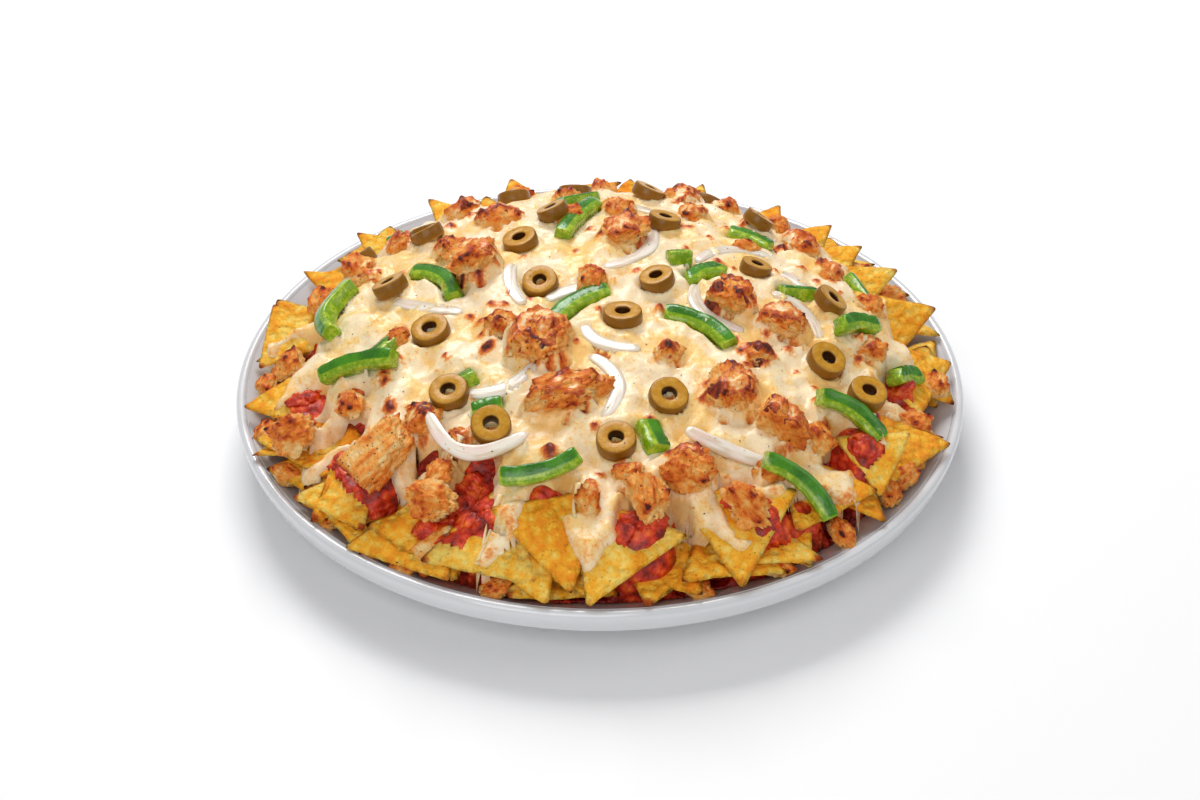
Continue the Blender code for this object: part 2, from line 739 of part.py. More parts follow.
def chunk_mesh(name, chunk, dice):
    """A torn lump of chicken, flatter below."""
    size = Matrix.Diagonal((chunk.length, chunk.width, chunk.height)) * MM
    shape = bmesh.new()
    bmesh.ops.create_icosphere(shape, subdivisions=2, radius=0.5)
    for vertex in shape.verts:
        vertex.co *= 1 + dice.uniform(-CHUNK_ROUGHNESS, CHUNK_ROUGHNESS)
        vertex.co.z = max(vertex.co.z, -CHUNK_UNDERSIDE)
        vertex.co = size @ vertex.co
    mesh = bpy.data.meshes.new(name)
    shape.to_mesh(mesh)
    shape.free()
    return mesh


def make_chicken(finish, tray, dice):
    """Chunks of browned chicken."""
    for number, chunk in enumerate(CHICKEN, 1):
        name = f"chicken_{number:02d}"
        place, axes = on_heap(chunk.x, chunk.y, chunk.turn)
        tray.settle(new_object(name, chunk_mesh(name, chunk, dice), finish, place, axes))


def main():
    """Clear the scene and build the dish from the plate up."""
    for old in list(bpy.data.objects):
        bpy.data.objects.remove(old)
    dice = random.Random(SEED)
    make_plate(material("porcelain"))
    heap = make_chip_heap(material("tortilla"), dice)
    tray = Tray()
    tray.add(heap)
    blanket(
        "salsa", material("salsa"), tray, SALSA_RADIUS, SALSA_SEGMENTS, SALSA_DEPTH, salsa_outline
    )
    blanket(
        "cheese", material("cheese"), tray, CHEESE_RADIUS, CHEESE_SEGMENTS, CHEESE_DEPTH, cheese_outline
    )
    finish = material("onion")
    for number, strip in enumerate(ONIONS, 1):
        name = f"onion_{number:02d}"
        lay_strip(name, strip, strip.width * MM, ONION_HEIGHT, ONION_STATIONS, finish, tray)
    finish = material("green_pepper")
    for number, strip in enumerate(PEPPERS, 1):
        name = f"pepper_{number:02d}"
        lay_strip(name, strip, strip.width * MM, PEPPER_WALL, PEPPER_STATIONS, finish, tray)
    make_chicken(material("chicken"), tray, dice)
    make_olives(material("olive"), tray)
    root = bpy.data.objects.new("nachos", None)
    bpy.context.scene.collection.objects.link(root)
    for piece in list(bpy.data.objects):
        if piece.type == "MESH":
            piece.parent = root


main()
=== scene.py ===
"""Looks of a plate of baked nachos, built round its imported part.

Lengths are millimetres in the part's frame, where the origin is the middle of the plate's
underside and +Z is up. Meshes turn to metres as they are made. Angles are degrees.
"""

from __future__ import annotations

import itertools
import logging
import math
from collections.abc import Iterable, Mapping, Sequence
from dataclasses import dataclass, field
from enum import Enum
from typing import Any, ClassVar

import bmesh
import bpy
import numpy as np
from mathutils import Matrix, Vector
from mathutils.bvhtree import BVHTree

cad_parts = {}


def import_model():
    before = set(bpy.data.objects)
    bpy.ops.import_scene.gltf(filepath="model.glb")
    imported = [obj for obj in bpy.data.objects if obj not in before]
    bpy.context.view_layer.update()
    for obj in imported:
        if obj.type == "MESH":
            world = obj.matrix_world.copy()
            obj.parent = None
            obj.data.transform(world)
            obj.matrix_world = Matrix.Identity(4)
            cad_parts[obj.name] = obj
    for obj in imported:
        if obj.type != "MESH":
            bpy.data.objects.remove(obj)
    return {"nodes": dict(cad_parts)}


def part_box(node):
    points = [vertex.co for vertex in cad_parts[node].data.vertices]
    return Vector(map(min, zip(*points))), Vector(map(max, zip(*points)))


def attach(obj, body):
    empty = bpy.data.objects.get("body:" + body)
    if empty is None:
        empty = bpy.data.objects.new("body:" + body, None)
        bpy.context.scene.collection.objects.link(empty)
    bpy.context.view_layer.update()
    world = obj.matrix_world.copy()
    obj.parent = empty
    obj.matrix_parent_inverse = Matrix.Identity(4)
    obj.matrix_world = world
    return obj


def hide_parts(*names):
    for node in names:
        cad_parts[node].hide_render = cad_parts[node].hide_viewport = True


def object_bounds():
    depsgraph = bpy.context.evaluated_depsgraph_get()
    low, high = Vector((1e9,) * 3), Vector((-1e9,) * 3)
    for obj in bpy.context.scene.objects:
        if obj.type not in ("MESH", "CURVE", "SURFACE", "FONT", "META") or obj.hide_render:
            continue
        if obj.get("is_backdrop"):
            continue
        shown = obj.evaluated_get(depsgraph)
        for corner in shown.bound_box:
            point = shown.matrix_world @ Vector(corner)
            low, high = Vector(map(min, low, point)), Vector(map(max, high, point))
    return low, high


Array = np.ndarray
Dice = np.random.Generator
Socket = bpy.types.NodeSocket
Material = bpy.types.Material
Colour = tuple[float, float, float, float]
Pair = tuple[float, float]
Triple = tuple[float, float, float]

MM = 0.001
SEED = 7
BODY = "root"
log = logging.getLogger("nachos")


def seen(red: int, green: int, blue: int) -> Colour:
    """A colour as a screen shows it, from 0 to 255, as linear light.

    Args:
        red: Share of red.
        green: Share of green.
        blue: Share of blue.

    Returns:
        The linear colour, with full alpha.
    """
    parts = []
    for value in (red, green, blue):
        share = value / 255
        parts.append(share / 12.92 if share <= 0.04045 else ((share + 0.055) / 1.055) ** 2.4)
    return (parts[0], parts[1], parts[2], 1.0)


# --- shader maths


class Wire:
    """A number that changes over a surface. Expressions on it add Math nodes."""

    def __init__(self, paint: Paint, socket: Socket) -> None:
        """Wrap one output socket of a paint."""
        self.paint = paint
        self.socket = socket

    def _math(self, operation: str, *terms: Wire | float, clamp: bool = False) -> Wire:
        """Add one Math node over the terms.

        Args:
            operation: What the node does.
            terms: What it works on.
            clamp: Whether the result is held between 0 and 1.

        Returns:
            The result.
        """
        settings = {"operation": operation, "use_clamp": clamp}
        made = self.paint.node("ShaderNodeMath", settings, dict(enumerate(terms)))
        return Wire(self.paint, made.outputs[0])

    def __add__(self, other: Wire | float) -> Wire:
        """Sum."""
        return self._math("ADD", self, other)

    __radd__ = __add__

    def __sub__(self, other: Wire | float) -> Wire:
        """Difference."""
        return self._math("SUBTRACT", self, other)

    def __rsub__(self, other: float) -> Wire:
        """Difference from a number."""
        return self._math("SUBTRACT", other, self)

    def __mul__(self, other: Wire | float) -> Wire:
        """Product."""
        return self._math("MULTIPLY", self, other)

    __rmul__ = __mul__

    def most(self, other: Wire | float) -> Wire:
        """The larger of the two."""
        return self._math("MAXIMUM", self, other)

    def clamped(self) -> Wire:
        """The value held between 0 and 1."""
        return self._math("ADD", self, 0.0, clamp=True)

    def step(self, low: float, high: float) -> Wire:
        """A smooth step from 0 at low to 1 at high.

        Args:
            low: The value that gives 0.
            high: The value that gives 1.

        Returns:
            The step.
        """
        settings = {"interpolation_type": "SMOOTHSTEP"}
        inputs = {"Value": self, "From Min": low, "From Max": high}
        made = self.paint.node("ShaderNodeMapRange", settings, inputs)
        return Wire(self.paint, made.outputs["Result"])


class Paint:
    """Builds the nodes of one material."""

    def __init__(self, name: str) -> None:
        """Start a material with its Principled shader.

        Args:
            name: The material's name.
        """
        self.material = bpy.data.materials.new(name)
        self.material.use_nodes = True
        self.tree = self.material.node_tree
        self.shader = self.tree.nodes["Principled BSDF"]

    def node(
        self,
        kind: str,
        settings: Mapping[str, object] | None = None,
        inputs: Mapping[str | int, object] | None = None,
    ) -> bpy.types.Node:
        """Add any node.

        Args:
            kind: The node's type.
            settings: Its properties, set first; "stops" holds a ramp's places and colours.
            inputs: Values, wires or sockets for its inputs, by name or number.

        Returns:
            The new node.
        """
        made = self.tree.nodes.new(kind)
        for key, value in (settings or {}).items():
            if key == "stops":
                self._fill_ramp(made.color_ramp, value)
            else:
                setattr(made, key, value)
        for key, value in (inputs or {}).items():
            self.plug(made.inputs[key], value)
        return made

    @staticmethod
    def _fill_ramp(ramp: bpy.types.ColorRamp, stops: Sequence[tuple[float, Colour]]) -> None:
        """Set a ramp's places and colours.

        Args:
            ramp: The ramp.
            stops: Its places and colours, in order.
        """
        while len(ramp.elements) < len(stops):
            ramp.elements.new(1.0)
        for element, (place, colour) in zip(ramp.elements, stops):
            element.position = place
            element.color = colour

    def plug(self, socket: Socket, value: object) -> None:
        """Set or link one input.

        Args:
            socket: The input.
            value: A wire, a socket or a constant.
        """
        if isinstance(value, Wire):
            self.tree.links.new(value.socket, socket)
        elif isinstance(value, Socket):
            self.tree.links.new(value, socket)
        else:
            socket.default_value = value

    def set(self, **values: object) -> None:
        """Set or link the shader's inputs, with _ for a space in their names."""
        for key, value in values.items():
            self.plug(self.shader.inputs[key.replace("_", " ")], value)

    def place(self) -> Socket:
        """The surface's own place in the part."""
        return self.node("ShaderNodeTexCoord").outputs["Object"]

    def mark(self, name: str) -> Wire:
        """A number that the mesh's points carry."""
        made = self.node("ShaderNodeAttribute", {"attribute_name": name})
        return Wire(self, made.outputs["Fac"])

    def along(self, name: str, stretch: Triple) -> Socket:
        """A stretched place of its own that the mesh's points carry.

        Args:
            name: Its name on the mesh.
            stretch: The factor along each axis.

        Returns:
            The place.
        """
        where = self.node("ShaderNodeAttribute", {"attribute_name": name}).outputs["Vector"]
        made = self.node("ShaderNodeMapping", None, {"Vector": where, "Scale": stretch})
        return made.outputs["Vector"]

    def cloud(
        self, size: float, detail: float = 2.0, rough: float = 0.5, where: object = None
    ) -> Wire:
        """Noise with lumps of a size in millimetres, from about 0.3 to 0.7.

        Args:
            size: The lumps' size.
            detail: How many finer layers it has.
            rough: How strong they are.
            where: The place that it is taken at.

        Returns:
            The noise.
        """
        inputs = {
            "Vector": where or self.place(),
            "Scale": 1 / (size * MM),
            "Detail": detail,
            "Roughness": rough,
        }
        return Wire(self, self.node("ShaderNodeTexNoise", None, inputs).outputs["Fac"])

    def cells(self, size: float, where: object = None, smooth: float = 0.5) -> Wire:
        """Distance to the nearest of cells of a size in millimetres, smoothed.

        Args:
            size: The cells' size.
            where: The place that it is taken at.
            smooth: How soft the borders between cells are.

        Returns:
            The distance, as a share of that size.
        """
        settings = {"feature": "SMOOTH_F1"}
        inputs = {"Vector": where or self.place(), "Scale": 1 / (size * MM), "Smoothness": smooth}
        made = self.node("ShaderNodeTexVoronoi", settings, inputs)
        return Wire(self, made.outputs["Distance"])

    def ramp(self, factor: Wire, stops: Sequence[tuple[float, Colour]]) -> Socket:
        """Colours along a number."""
        return self.node("ShaderNodeValToRGB", {"stops": stops}, {0: factor}).outputs["Color"]

    def mix(self, factor: Wire | float, one: object, two: object) -> Socket:
        """A colour between two."""
        settings = {"data_type": "RGBA"}
        return self.node("ShaderNodeMix", settings, {0: factor, 6: one, 7: two}).outputs[2]

    def bump(self, height: Wire, depth: float) -> Socket:
        """A normal bent by relief of a depth in millimetres."""
        inputs = {"Height": height, "Distance": depth * MM}
        return self.node("ShaderNodeBump", None, inputs).outputs["Normal"]

    def soften(self, weight: float, reach: Triple, depth: float) -> None:
        """Let light into the surface, to a depth in millimetres and a share of it for each colour."""
        self.set(Subsurface_Weight=weight, Subsurface_Radius=reach, Subsurface_Scale=depth * MM)

    def gloss(self, weight: float, rough: float, mirror: float = 0.5) -> None:
        """Lay a wet coat on the surface, and set how much its body mirrors."""
        self.set(Coat_Weight=weight, Coat_Roughness=rough, Specular_IOR_Level=mirror)


# --- finishes


@dataclass(frozen=True)
class Porcelain:
    """White glazed ware, with a painted warm bounce from the food inside the rim, where an oily film also
    roughens the glaze.
    """

    glaze: Colour = seen(212, 213, 216)
    # painted reflection: the food's warm bounce on the glaze inside the rim
    warm: Colour = seen(240, 205, 165)

    def make(self) -> Material:
        """The glazed material.

        Returns:
            The material.
        """
        paint = Paint("glazed_porcelain")
        waves = paint.cloud(38, 2.0)
        # painted reflection: this mark lays the food's warm bounce on the glaze inside the rim, and also
        # roughens it there as an oily film
        oil_and_bounce = (paint.mark("oil_and_bounce") * paint.cloud(11, 3.0).step(0.35, 0.6)).clamped()
        paint.set(
            Base_Color=paint.mix(oil_and_bounce * 0.75, self.glaze, self.warm),
            Roughness=0.1 + 0.12 * paint.cloud(25, 3.0) + 0.1 * oil_and_bounce,
            Normal=paint.bump(waves, 0.25),
        )
        paint.gloss(0.5, 0.06)
        return paint.material


@dataclass(frozen=True)
class ToastedCorn:
    """Fried corn dough: blistered, specked, browned at the corners."""

    light: Colour = seen(255, 220, 110)
    golden: Colour = seen(255, 185, 44)
    deep: Colour = seen(246, 150, 26)
    toast: Colour = seen(186, 78, 18)
    speck: Colour = seen(96, 58, 22)

    def make(self) -> Material:
        """The chips' material.

        Returns:
            The material.
        """
        paint = Paint("toasted_corn")
        blisters = paint.cells(3.4, smooth=0.6)
        grit = paint.cloud(1.1, 4.0, 0.65)
        patches = 0.6 * paint.cloud(13, 3.0) + 0.2 + 0.16 * (paint.mark("tint") - 0.5)
        hue = paint.ramp(
            patches + 0.4 * (0.45 - blisters) + 0.45 * (grit - 0.5),
            [(0.32, self.deep), (0.48, self.golden), (0.68, self.light)],
        )
        toasted = (paint.mark("toast") + 0.9 * (paint.cloud(3.2, 4.0, 0.6) - 0.56)).step(0.3, 0.95)
        browned = paint.mix(toasted, hue, self.toast)
        specks = paint.cells(2.1, smooth=0.0).step(0.17, 0.1) * paint.cloud(6).step(0.47, 0.6)
        pores = (1 - grit.step(0.3, 0.42)) * 0.25
        relief = blisters * 0.9 + grit * 0.35 + paint.cloud(7, 2.0) * 0.8
        paint.set(
            Base_Color=paint.mix((specks * 0.75).most(pores), browned, self.speck),
            Roughness=0.5 + 0.2 * grit,
            Normal=paint.bump(relief, 3.0),
        )
        paint.soften(0.1, (1.0, 0.5, 0.15), 1.2)
        paint.set(Specular_IOR_Level=0.22)
        return paint.material


@dataclass(frozen=True)
class TomatoSalsa:
    """Cooked tomato: deep red, wet and full of small chunks."""

    dark: Colour = seen(132, 13, 2)
    red: Colour = seen(216, 50, 8)
    bright: Colour = seen(252, 116, 32)

    def make(self) -> Material:
        """The salsa's material.

        Returns:
            The material.
        """
        paint = Paint("tomato_salsa")
        chunks = paint.cells(4.2, smooth=0.35)
        pulp = paint.cloud(2.2, 4.0, 0.6)
        low = paint.mark("low")
        # painted shade: the salsa is darker where it lies low on the filling, between the chips
        tone = 0.62 * paint.cloud(7, 3.0, 0.6) + 0.4 * (0.5 - chunks) + 0.25 * pulp - 0.16 * low
        paint.set(
            Base_Color=paint.ramp(tone, [(0.26, self.dark), (0.46, self.red), (0.66, self.bright)]),
            Roughness=0.16 + 0.3 * pulp.step(0.35, 0.65),
            Normal=paint.bump(pulp * 0.8 - chunks, 2.0),
        )
        paint.soften(0.15, (1.0, 0.25, 0.1), 2.0)
        paint.gloss(0.2, 0.1, 0.4)
        return paint.material


@dataclass(frozen=True)
class MeltedCheese:
    """Melted and grilled cheese: cream, glossy, browned where it stands up, with painted shade in its
    valleys, caves and hollows.
    """

    cream: Colour = seen(251, 228, 190)
    butter: Colour = seen(249, 210, 136)
    gold: Colour = seen(245, 182, 82)
    amber: Colour = seen(232, 146, 66)
    rust: Colour = seen(202, 90, 36)
    burnt: Colour = seen(130, 40, 18)
    char: Colour = seen(62, 20, 10)
    blush: Colour = seen(240, 178, 116)

    def make(self) -> Material:
        """The cheese's material.

        Returns:
            The material.
        """
        paint = Paint("melted_cheese")
        broad = paint.cloud(17, 3.0, 0.55)
        fine = paint.cloud(1.5, 4.0, 0.62)
        middle = paint.cloud(4.5, 3.0, 0.6)
        body = paint.mix((broad + 0.35 * (middle - 0.5)).step(0.42, 0.64), self.cream, self.butter)
        grains = fine.step(0.5, 0.66) * (broad + 0.4 * (middle - 0.5)).step(0.34, 0.56)
        # painted shade: warm gold laid in the valleys between the lumps, where shade falls
        low = (paint.mark("valley") * broad.step(0.35, 0.6)).clamped()
        body = paint.mix((grains * 0.8).most(low * 0.6), body, self.gold)
        blushed = (paint.mark("stain") * middle.step(0.36, 0.6)).clamped()
        body = paint.mix(blushed * 0.75, body, self.blush)
        # the browning mark also carries painted shade: dark brown in the caves and hollows, where shade
        # falls
        heat_and_shade = paint.mark("baked") + 0.7 * (middle - 0.5) + 0.7 * (fine - 0.5)
        colours = (self.gold, self.amber, self.rust, self.burnt, self.char)
        baked = paint.ramp(heat_and_shade, list(zip((0.18, 0.36, 0.58, 0.8, 1.0), colours)))
        relief = 0.5 * middle + 0.22 * fine + 0.45 * paint.cloud(9, 2.0)
        paint.set(
            Base_Color=paint.mix(heat_and_shade.step(0.1, 0.38), body, baked),
            Roughness=0.26 + 0.25 * fine.step(0.4, 0.7) + 0.2 * heat_and_shade.step(0.3, 0.7),
            Normal=paint.bump(relief, 1.1),
        )
        paint.soften(0.35, (1.0, 0.72, 0.36), 2.6)
        paint.gloss(0.2, 0.12, 0.35)
        return paint.material


@dataclass(frozen=True)
class OliveFlesh:
    """Green olive: khaki cut faces, browner skin, and painted shade on the wall round the hole."""

    face: Colour = seen(190, 132, 22)
    skin: Colour = seen(134, 88, 8)
    # painted shade on the wall inside the hole
    core: Colour = seen(66, 32, 5)
    light: Colour = seen(206, 154, 46)

    def make(self) -> Material:
        """The olives' material.

        Returns:
            The material.
        """
        paint = Paint("olive_flesh")
        mottle = paint.cloud(2.6, 4.0, 0.6)
        cut = paint.mix(mottle.step(0.4, 0.68), self.face, self.light)
        rind = paint.mix(paint.mark("skin"), cut, self.skin)
        paint.set(
            # painted shade: the core mark darkens the hole's wall
            Base_Color=paint.mix(paint.mark("core"), rind, self.core),
            Roughness=0.26 + 0.2 * mottle,
            Normal=paint.bump(mottle + 0.4 * paint.cloud(0.8, 3.0), 0.35),
        )
        paint.soften(0.2, (1.0, 0.7, 0.2), 1.5)
        paint.gloss(0.15, 0.1, 0.3)
        return paint.material


@dataclass(frozen=True)
class PepperFlesh:
    """Green pepper: dark glossy skin over bright wet flesh."""

    skin: Colour = seen(70, 138, 16)
    deep: Colour = seen(46, 108, 14)
    flesh: Colour = seen(118, 158, 10)
    pale: Colour = seen(168, 192, 48)

    def make(self) -> Material:
        """The peppers' material.

        Returns:
            The material.
        """
        paint = Paint("pepper_flesh")
        mottle = paint.cloud(3.2, 3.0, 0.6)
        fine = paint.cloud(1.0, 3.0)
        outside = paint.mix(paint.cloud(9.0, 2.0).step(0.35, 0.65), self.deep, self.skin)
        inside = paint.mix((mottle + 0.4 * (fine - 0.5)).step(0.42, 0.66), self.flesh, self.pale)
        skin = (paint.mark("skin") + 0.5 * (mottle - 0.5)).step(0.3, 0.62)
        paint.set(
            Base_Color=paint.mix(skin, inside, outside),
            Roughness=0.16 + 0.22 * fine,
            Normal=paint.bump(mottle + 0.3 * fine, 0.4),
        )
        paint.soften(0.2, (0.7, 1.0, 0.1), 1.5)
        paint.gloss(0.4, 0.06, 0.35)
        return paint.material


@dataclass(frozen=True)
class OnionFlesh:
    """Softened onion: white, glassy, with faint lines along it."""

    white: Colour = seen(238, 229, 216)
    glassy: Colour = seen(216, 200, 176)
    pink: Colour = seen(238, 208, 200)

    def make(self) -> Material:
        """The onions' material.

        Returns:
            The material.
        """
        paint = Paint("onion_flesh")
        lines = paint.cloud(2.0, 3.0, where=paint.along("grain", (0.15, 1, 1)))
        soft = paint.cloud(9, 2.0)
        body = paint.mix(lines.step(0.4, 0.62), self.white, self.glassy)
        paint.set(
            Base_Color=paint.mix(soft.step(0.5, 0.72) * 0.6, body, self.pink),
            Roughness=0.14 + 0.18 * lines,
            Normal=paint.bump(lines, 0.35),
        )
        paint.soften(0.55, (1.0, 0.95, 0.85), 3.0)
        paint.gloss(0.4, 0.07)
        return paint.material


@dataclass(frozen=True)
class RoastChicken:
    """Roast chicken: pale fibrous cuts under a spiced crust, charred at its tips."""

    pale: Colour = seen(255, 218, 152)
    tan: Colour = seen(250, 176, 84)
    spiced: Colour = seen(240, 134, 40)
    brown: Colour = seen(190, 66, 10)
    char: Colour = seen(70, 18, 4)
    pepper: Colour = seen(44, 26, 16)

    def make(self) -> Material:
        """The chicken's material.

        Returns:
            The material.
        """
        paint = Paint("roast_chicken")
        fibres = paint.cloud(1.7, 4.0, 0.6, where=paint.along("grain", (0.4, 1, 1)))
        patch = paint.cloud(5, 4.0, 0.62)
        grit = paint.cloud(1.2, 3.0, 0.6)
        crust = paint.mark("crust") + 0.75 * (patch - 0.5) + 0.35 * (fibres - 0.5)
        colours = (self.pale, self.tan, self.spiced, self.brown, self.char)
        body = paint.ramp(crust, list(zip((0.12, 0.36, 0.56, 0.82, 1.0), colours)))
        specks = paint.cells(2.4, smooth=0.0).step(0.2, 0.12) * paint.cloud(7).step(0.42, 0.56)
        paint.set(
            Base_Color=paint.mix(specks * 0.85, body, self.pepper),
            Roughness=0.36 + 0.3 * grit,
            Normal=paint.bump(fibres + 0.4 * grit + 0.4 * patch, 2.2),
        )
        paint.soften(0.15, (1.0, 0.6, 0.3), 1.5)
        paint.gloss(0.08, 0.2, 0.25)
        return paint.material


@dataclass(frozen=True)
class HerbFlake:
    """Dried herb and pepper flakes."""

    green: Colour = seen(58, 62, 22)
    black: Colour = seen(30, 18, 10)

    def make(self) -> Material:
        """The flakes' material.

        Returns:
            The material.
        """
        paint = Paint("herb_flake")
        tone = paint.cloud(4, 2.0).step(0.4, 0.6)
        paint.set(Base_Color=paint.mix(tone, self.green, self.black), Roughness=0.6)
        return paint.material


@dataclass(frozen=True)
class StudioFloor:
    """A plain pale floor."""

    pale: Colour = seen(244, 244, 245)

    def make(self) -> Material:
        """The floor's material.

        Returns:
            The material.
        """
        paint = Paint("studio_floor")
        paint.set(Base_Color=self.pale, Roughness=0.75)
        return paint.material


# --- geometry


class Grain:
    """Seeded smooth noise over space, from about -1 to 1."""

    CELLS = 256

    def __init__(self, seed: int) -> None:
        """Draw the lattice's arrows.

        Args:
            seed: What the noise is seeded with.
        """
        dice = np.random.default_rng(seed)
        self.order = np.tile(dice.permutation(self.CELLS), 3)
        arrows = dice.normal(size=(self.CELLS, 3))
        self.arrows = arrows / np.linalg.norm(arrows, axis=1, keepdims=True)

    def at(self, points: Array, size: float) -> Array:
        """Noise with lumps of a size.

        Args:
            points: Places, as an array whose last axis is x, y, z.
            size: The lumps' size, in the places' own units.

        Returns:
            One number for each place.
        """
        spot = np.asarray(points, float) / size
        cell = np.floor(spot).astype(int)
        part = spot - cell
        ease = part**3 * (part * (part * 6 - 15) + 10)
        total = np.zeros(spot.shape[:-1])
        for corner in itertools.product((0, 1), repeat=3):
            lattice = (cell + corner) % self.CELLS
            index = self.order[lattice[..., 0]] + lattice[..., 1]
            index = self.order[self.order[index] + lattice[..., 2]]
            slope = np.einsum("...k,...k->...", self.arrows[index], part - corner)
            total += slope * np.prod(np.where(np.array(corner) == 1, ease, 1 - ease), axis=-1)
        return total * 1.6

    def layered(self, points: Array, size: float, layers: int = 3) -> Array:
        """Noise with finer and fainter noise on it."""
        parts = [self.at(points, size / 2**k) / 2**k for k in range(layers)]
        return sum(parts) / 1.4


def smooth_step(values: Array, low: float, high: float) -> Array:
    """A smooth step from 0 at low to 1 at high."""
    share = np.clip((values - low) / (high - low), 0, 1)
    return share * share * (3 - 2 * share)


def smooth_most(one: Array, two: Array, soft: float) -> Array:
    """The larger of two heights, with a fillet of a size where they meet."""
    blend = np.clip(0.5 + 0.5 * (two - one) / soft, 0, 1)
    return one * (1 - blend) + two * blend + soft * blend * (1 - blend)


class Batch:
    """Collects bits of mesh, with the numbers their points carry, as one piece."""

    def __init__(self, name: str) -> None:
        """Start an empty piece.

        Args:
            name: The piece's name.
        """
        self.name = name
        self.points: list[Array] = []
        self.faces: list[list[int]] = []
        self.marks: dict[str, list[Array]] = {}
        self.count = 0

    def add(self, points: Array, faces: Iterable[Sequence[int]], **marks: Array) -> None:
        """Add a bit.

        Args:
            points: Its points in millimetres.
            faces: Its faces, as numbers of its own points.
            marks: Numbers or vectors that its points carry, by name.
        """
        start = self.count
        self.points.append(points)
        self.faces.extend([corner + start for corner in face] for face in faces)
        for key, values in marks.items():
            self.marks.setdefault(key, []).append(np.asarray(values, float))
        self.count += len(points)

    def build(
        self, material: Material, replaced: Sequence[str], slot: str, crease: float = 180
    ) -> bpy.types.Object:
        """Make the piece, riding on the part's body.

        Args:
            material: Its finish.
            replaced: The part's nodes that it stands for.
            slot: Not used.
            crease: The angle over which an edge stays sharp.

        Returns:
            The new object.
        """
        mesh = bpy.data.meshes.new(self.name)
        mesh.from_pydata((np.concatenate(self.points) * MM).tolist(), [], self.faces)
        for key, parts in self.marks.items():
            values = np.concatenate(parts)
            vector = values.ndim == 2
            made = mesh.attributes.new(key, "FLOAT_VECTOR" if vector else "FLOAT", "POINT")
            target = "vector" if vector else "value"
            made.data.foreach_set(target, (values * MM if vector else values).ravel())
        mesh.polygons.foreach_set("use_smooth", np.ones(len(mesh.polygons), bool))
        if crease < 180:
            mesh.set_sharp_from_angle(angle=math.radians(crease))
        mesh.materials.append(material)
        piece = bpy.data.objects.new(self.name, mesh)
        bpy.context.scene.collection.objects.link(piece)
        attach(piece, BODY)
        if replaced:
            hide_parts(*replaced)
        triangles = sum(len(face) - 2 for face in self.faces)
        log.info("%s: %d triangles, for %d nodes", self.name, triangles, len(replaced))
        return piece

    def tree(self) -> BVHTree:
        """A search tree over all bits so far, in millimetres."""
        return BVHTree.FromPolygons(np.concatenate(self.points).tolist(), self.faces)

    def box(self) -> tuple[Array, Array]:
        """Lowest and highest corners of all bits so far."""
        points = np.concatenate(self.points)
        return points.min(0), points.max(0)


class Dome:
    """The part's driving sizes: the plate, and the dome that the food's top follows."""

    plate_radius = 150.0
    rim_height = 28.0
    rim_width = 4.7
    plate_floor = 7.0
    floor_radius = 95.0
    heap_radius = 142.0
    heap_rise = 48.0
    heap_power = 2.8

    def plate_top(self, distance: Array) -> Array:
        """Height of the plate's upper face at a distance from its middle.

        Args:
            distance: The distance from the middle.

        Returns:
            The height.
        """
        reach = self.plate_radius - self.rim_width - self.floor_radius
        climb = np.maximum(0, np.asarray(distance, float) - self.floor_radius) / reach
        return self.plate_floor + (self.rim_height - 1 - self.plate_floor) * climb**1.8

    def height(self, distance: Array) -> Array:
        """Height of the dome at a distance from its middle."""
        share = np.minimum(distance, self.heap_radius) / self.heap_radius
        return self.rim_height + self.heap_rise * (1 - share**self.heap_power)


DOME = Dome()
FAR_BELOW = -100.0


